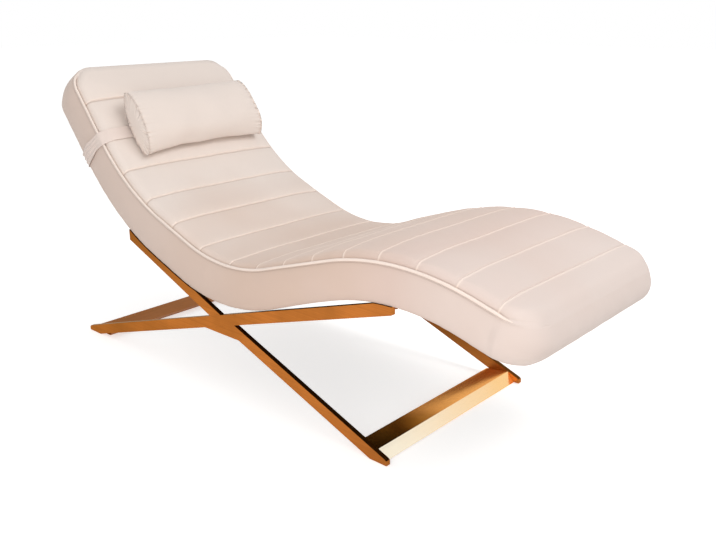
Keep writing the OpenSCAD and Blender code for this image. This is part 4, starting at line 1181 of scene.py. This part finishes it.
def finish_node(node, material, bevel=0.0):
    """Gives a CAD node its material and, as modifiers, broken edges."""
    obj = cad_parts[node]
    obj.data.materials.clear()
    obj.data.materials.append(material)
    if bevel:
        weld = obj.modifiers.new("Weld", "WELD")
        weld.merge_threshold = 0.00001
        broken = obj.modifiers.new("Broken_edges", "BEVEL")
        broken.width = bevel
        broken.segments = 2
        broken.limit_method = "ANGLE"
        broken.angle_limit = math.radians(35)
        broken.harden_normals = True


class LOUNGER_OT_hardware(bpy.types.Operator):
    """Finishes for the fasteners, the glides and the plywood inside"""

    bl_idname = "lounger.hardware"
    bl_label = "Fasteners, glides and shell"

    def execute(self, context):
        finish = context.scene.lounger_finish
        zinc, birch = plated(finish), plywood(finish)
        for node in ("rail_bolts", "rail_washers", "t_nuts"):
            finish_node(node, zinc, 0.25 * MM)
        for node in ("rib_near", "rib_far", "rib_head", "rib_foot", "corner_blocks", "shell_panel"):
            finish_node(node, birch)
        finish_node("floor_glides", matt_black("glide_rubber", 600.0, 0.0003, 0.7))
        return {"FINISHED"}


class LOUNGER_OT_stage(bpy.types.Operator):
    """Pale floor, soft studio light, white surroundings and the photograph's camera"""

    bl_idname = "lounger.stage"
    bl_label = "Stage"

    def execute(self, context):
        scene = context.scene
        scene.view_settings.view_transform = "Standard"
        bpy.ops.mesh.primitive_plane_add(size=40, location=(0, 0, 0))
        floor = context.active_object
        floor.name = "Floor"
        # the floor and the world look white, and light the lounger at a plain level
        m = Shader("pale_floor")
        strength = m.maths("MULTIPLY", m.shown(), FLOOR_GLOW)
        glow = m.add("ShaderNodeEmission", {"Color": (1, 1, 1, 1), "Strength": strength})
        m.set(Base_Color=(0.86, 0.85, 0.84, 1), Roughness=1.0, Specular_IOR_Level=0.0)
        total = m.add("ShaderNodeAddShader", {0: m.bsdf.outputs[0], 1: glow.outputs[0]})
        m.put(m.tree.nodes["Material Output"], "Surface", total.outputs[0])
        floor.data.materials.append(m.material)
        world = bpy.data.worlds.new("Studio")
        world.use_nodes = True
        scene.world = world
        n = Nodes(world.node_tree)
        back = n.tree.nodes["Background"]
        n.put(back, "Color", (1, 1, 1, 1))
        n.put(back, "Strength", n.span(n.shown(), 0, 1, WORLD_LEVEL, 1.0))
        for name, place, target, size, power, tint in (
            ("Key", (1.9, 0.7, 3.2), (0, 0, 0.4), 2.0, 50, (1.0, 0.99, 0.98)),
            ("Front", (1.7, -2.6, 1.0), (0.5, 0, 0.4), 1.6, 26, (1.0, 0.95, 0.91)),
            ("Side", (0.7, -2.8, 0.9), (0.2, 0, 0.4), 2.0, 12, (1.0, 0.96, 0.92)),
        ):
            data = bpy.data.lights.new(name, "AREA")
            data.size, data.energy, data.color = size, power, tint
            lamp = bpy.data.objects.new(name, data)
            scene.collection.objects.link(lamp)
            lamp.location = place
            x, y, z = np.array(place) - np.array(target)
            lamp.rotation_euler = (math.atan2(math.hypot(x, y), z), 0, math.atan2(x, -y))
        data = bpy.data.cameras.new("Camera")
        data.sensor_width, data.lens, data.clip_end = 36, CAMERA_LENS, 60
        camera = bpy.data.objects.new("Camera", data)
        scene.collection.objects.link(camera)
        camera.location = CAMERA_PLACE
        camera.rotation_euler = (math.radians(90 - CAMERA_DOWN), 0, math.radians(CAMERA_ROUND))
        scene.camera = camera
        return {"FINISHED"}


class LOUNGER_PT_panel(bpy.types.Panel):
    """Lists the sizes, the finishes and the making of each piece"""

    bl_label = "Relaxation lounger"
    bl_idname = "LOUNGER_PT_panel"
    bl_space_type = "VIEW_3D"
    bl_region_type = "UI"
    bl_category = "Lounger"

    def draw(self, context):
        for operator in OPERATORS:
            self.layout.operator(operator.bl_idname)
        for group_name, kind in GROUPS.items():
            box = self.layout.box()
            for name in kind.__annotations__:
                box.prop(getattr(context.scene, group_name), name)


OPERATORS = (
    LOUNGER_OT_top, LOUNGER_OT_walls, LOUNGER_OT_piping, LOUNGER_OT_base_cloth, LOUNGER_OT_bolster,
    LOUNGER_OT_straps, LOUNGER_OT_tapes, LOUNGER_OT_metal, LOUNGER_OT_hardware, LOUNGER_OT_stage,
)
GROUPS = {"lounger_wave": LoungerWave, "lounger_bolster": LoungerBolster, "lounger_finish": LoungerFinish}


def register():
    for cls in (*GROUPS.values(), *OPERATORS, LOUNGER_PT_panel):
        bpy.utils.register_class(cls)
    for name, cls in GROUPS.items():
        setattr(bpy.types.Scene, name, PointerProperty(type=cls))


def unregister():
    for name in GROUPS:
        delattr(bpy.types.Scene, name)
    for cls in (LOUNGER_PT_panel, *reversed(OPERATORS), *reversed(GROUPS.values())):
        bpy.utils.unregister_class(cls)


def main():
    register()
    bpy.ops.lounger.quilted_top()
    bpy.ops.lounger.side_wall()
    bpy.ops.lounger.piping()
    bpy.ops.lounger.base_cloth()
    bpy.ops.lounger.bolster()
    bpy.ops.lounger.straps()
    bpy.ops.lounger.tapes()
    bpy.ops.lounger.metal_base()
    bpy.ops.lounger.hardware()
    bpy.ops.lounger.stage()


if __name__ == "__main__":
    main()
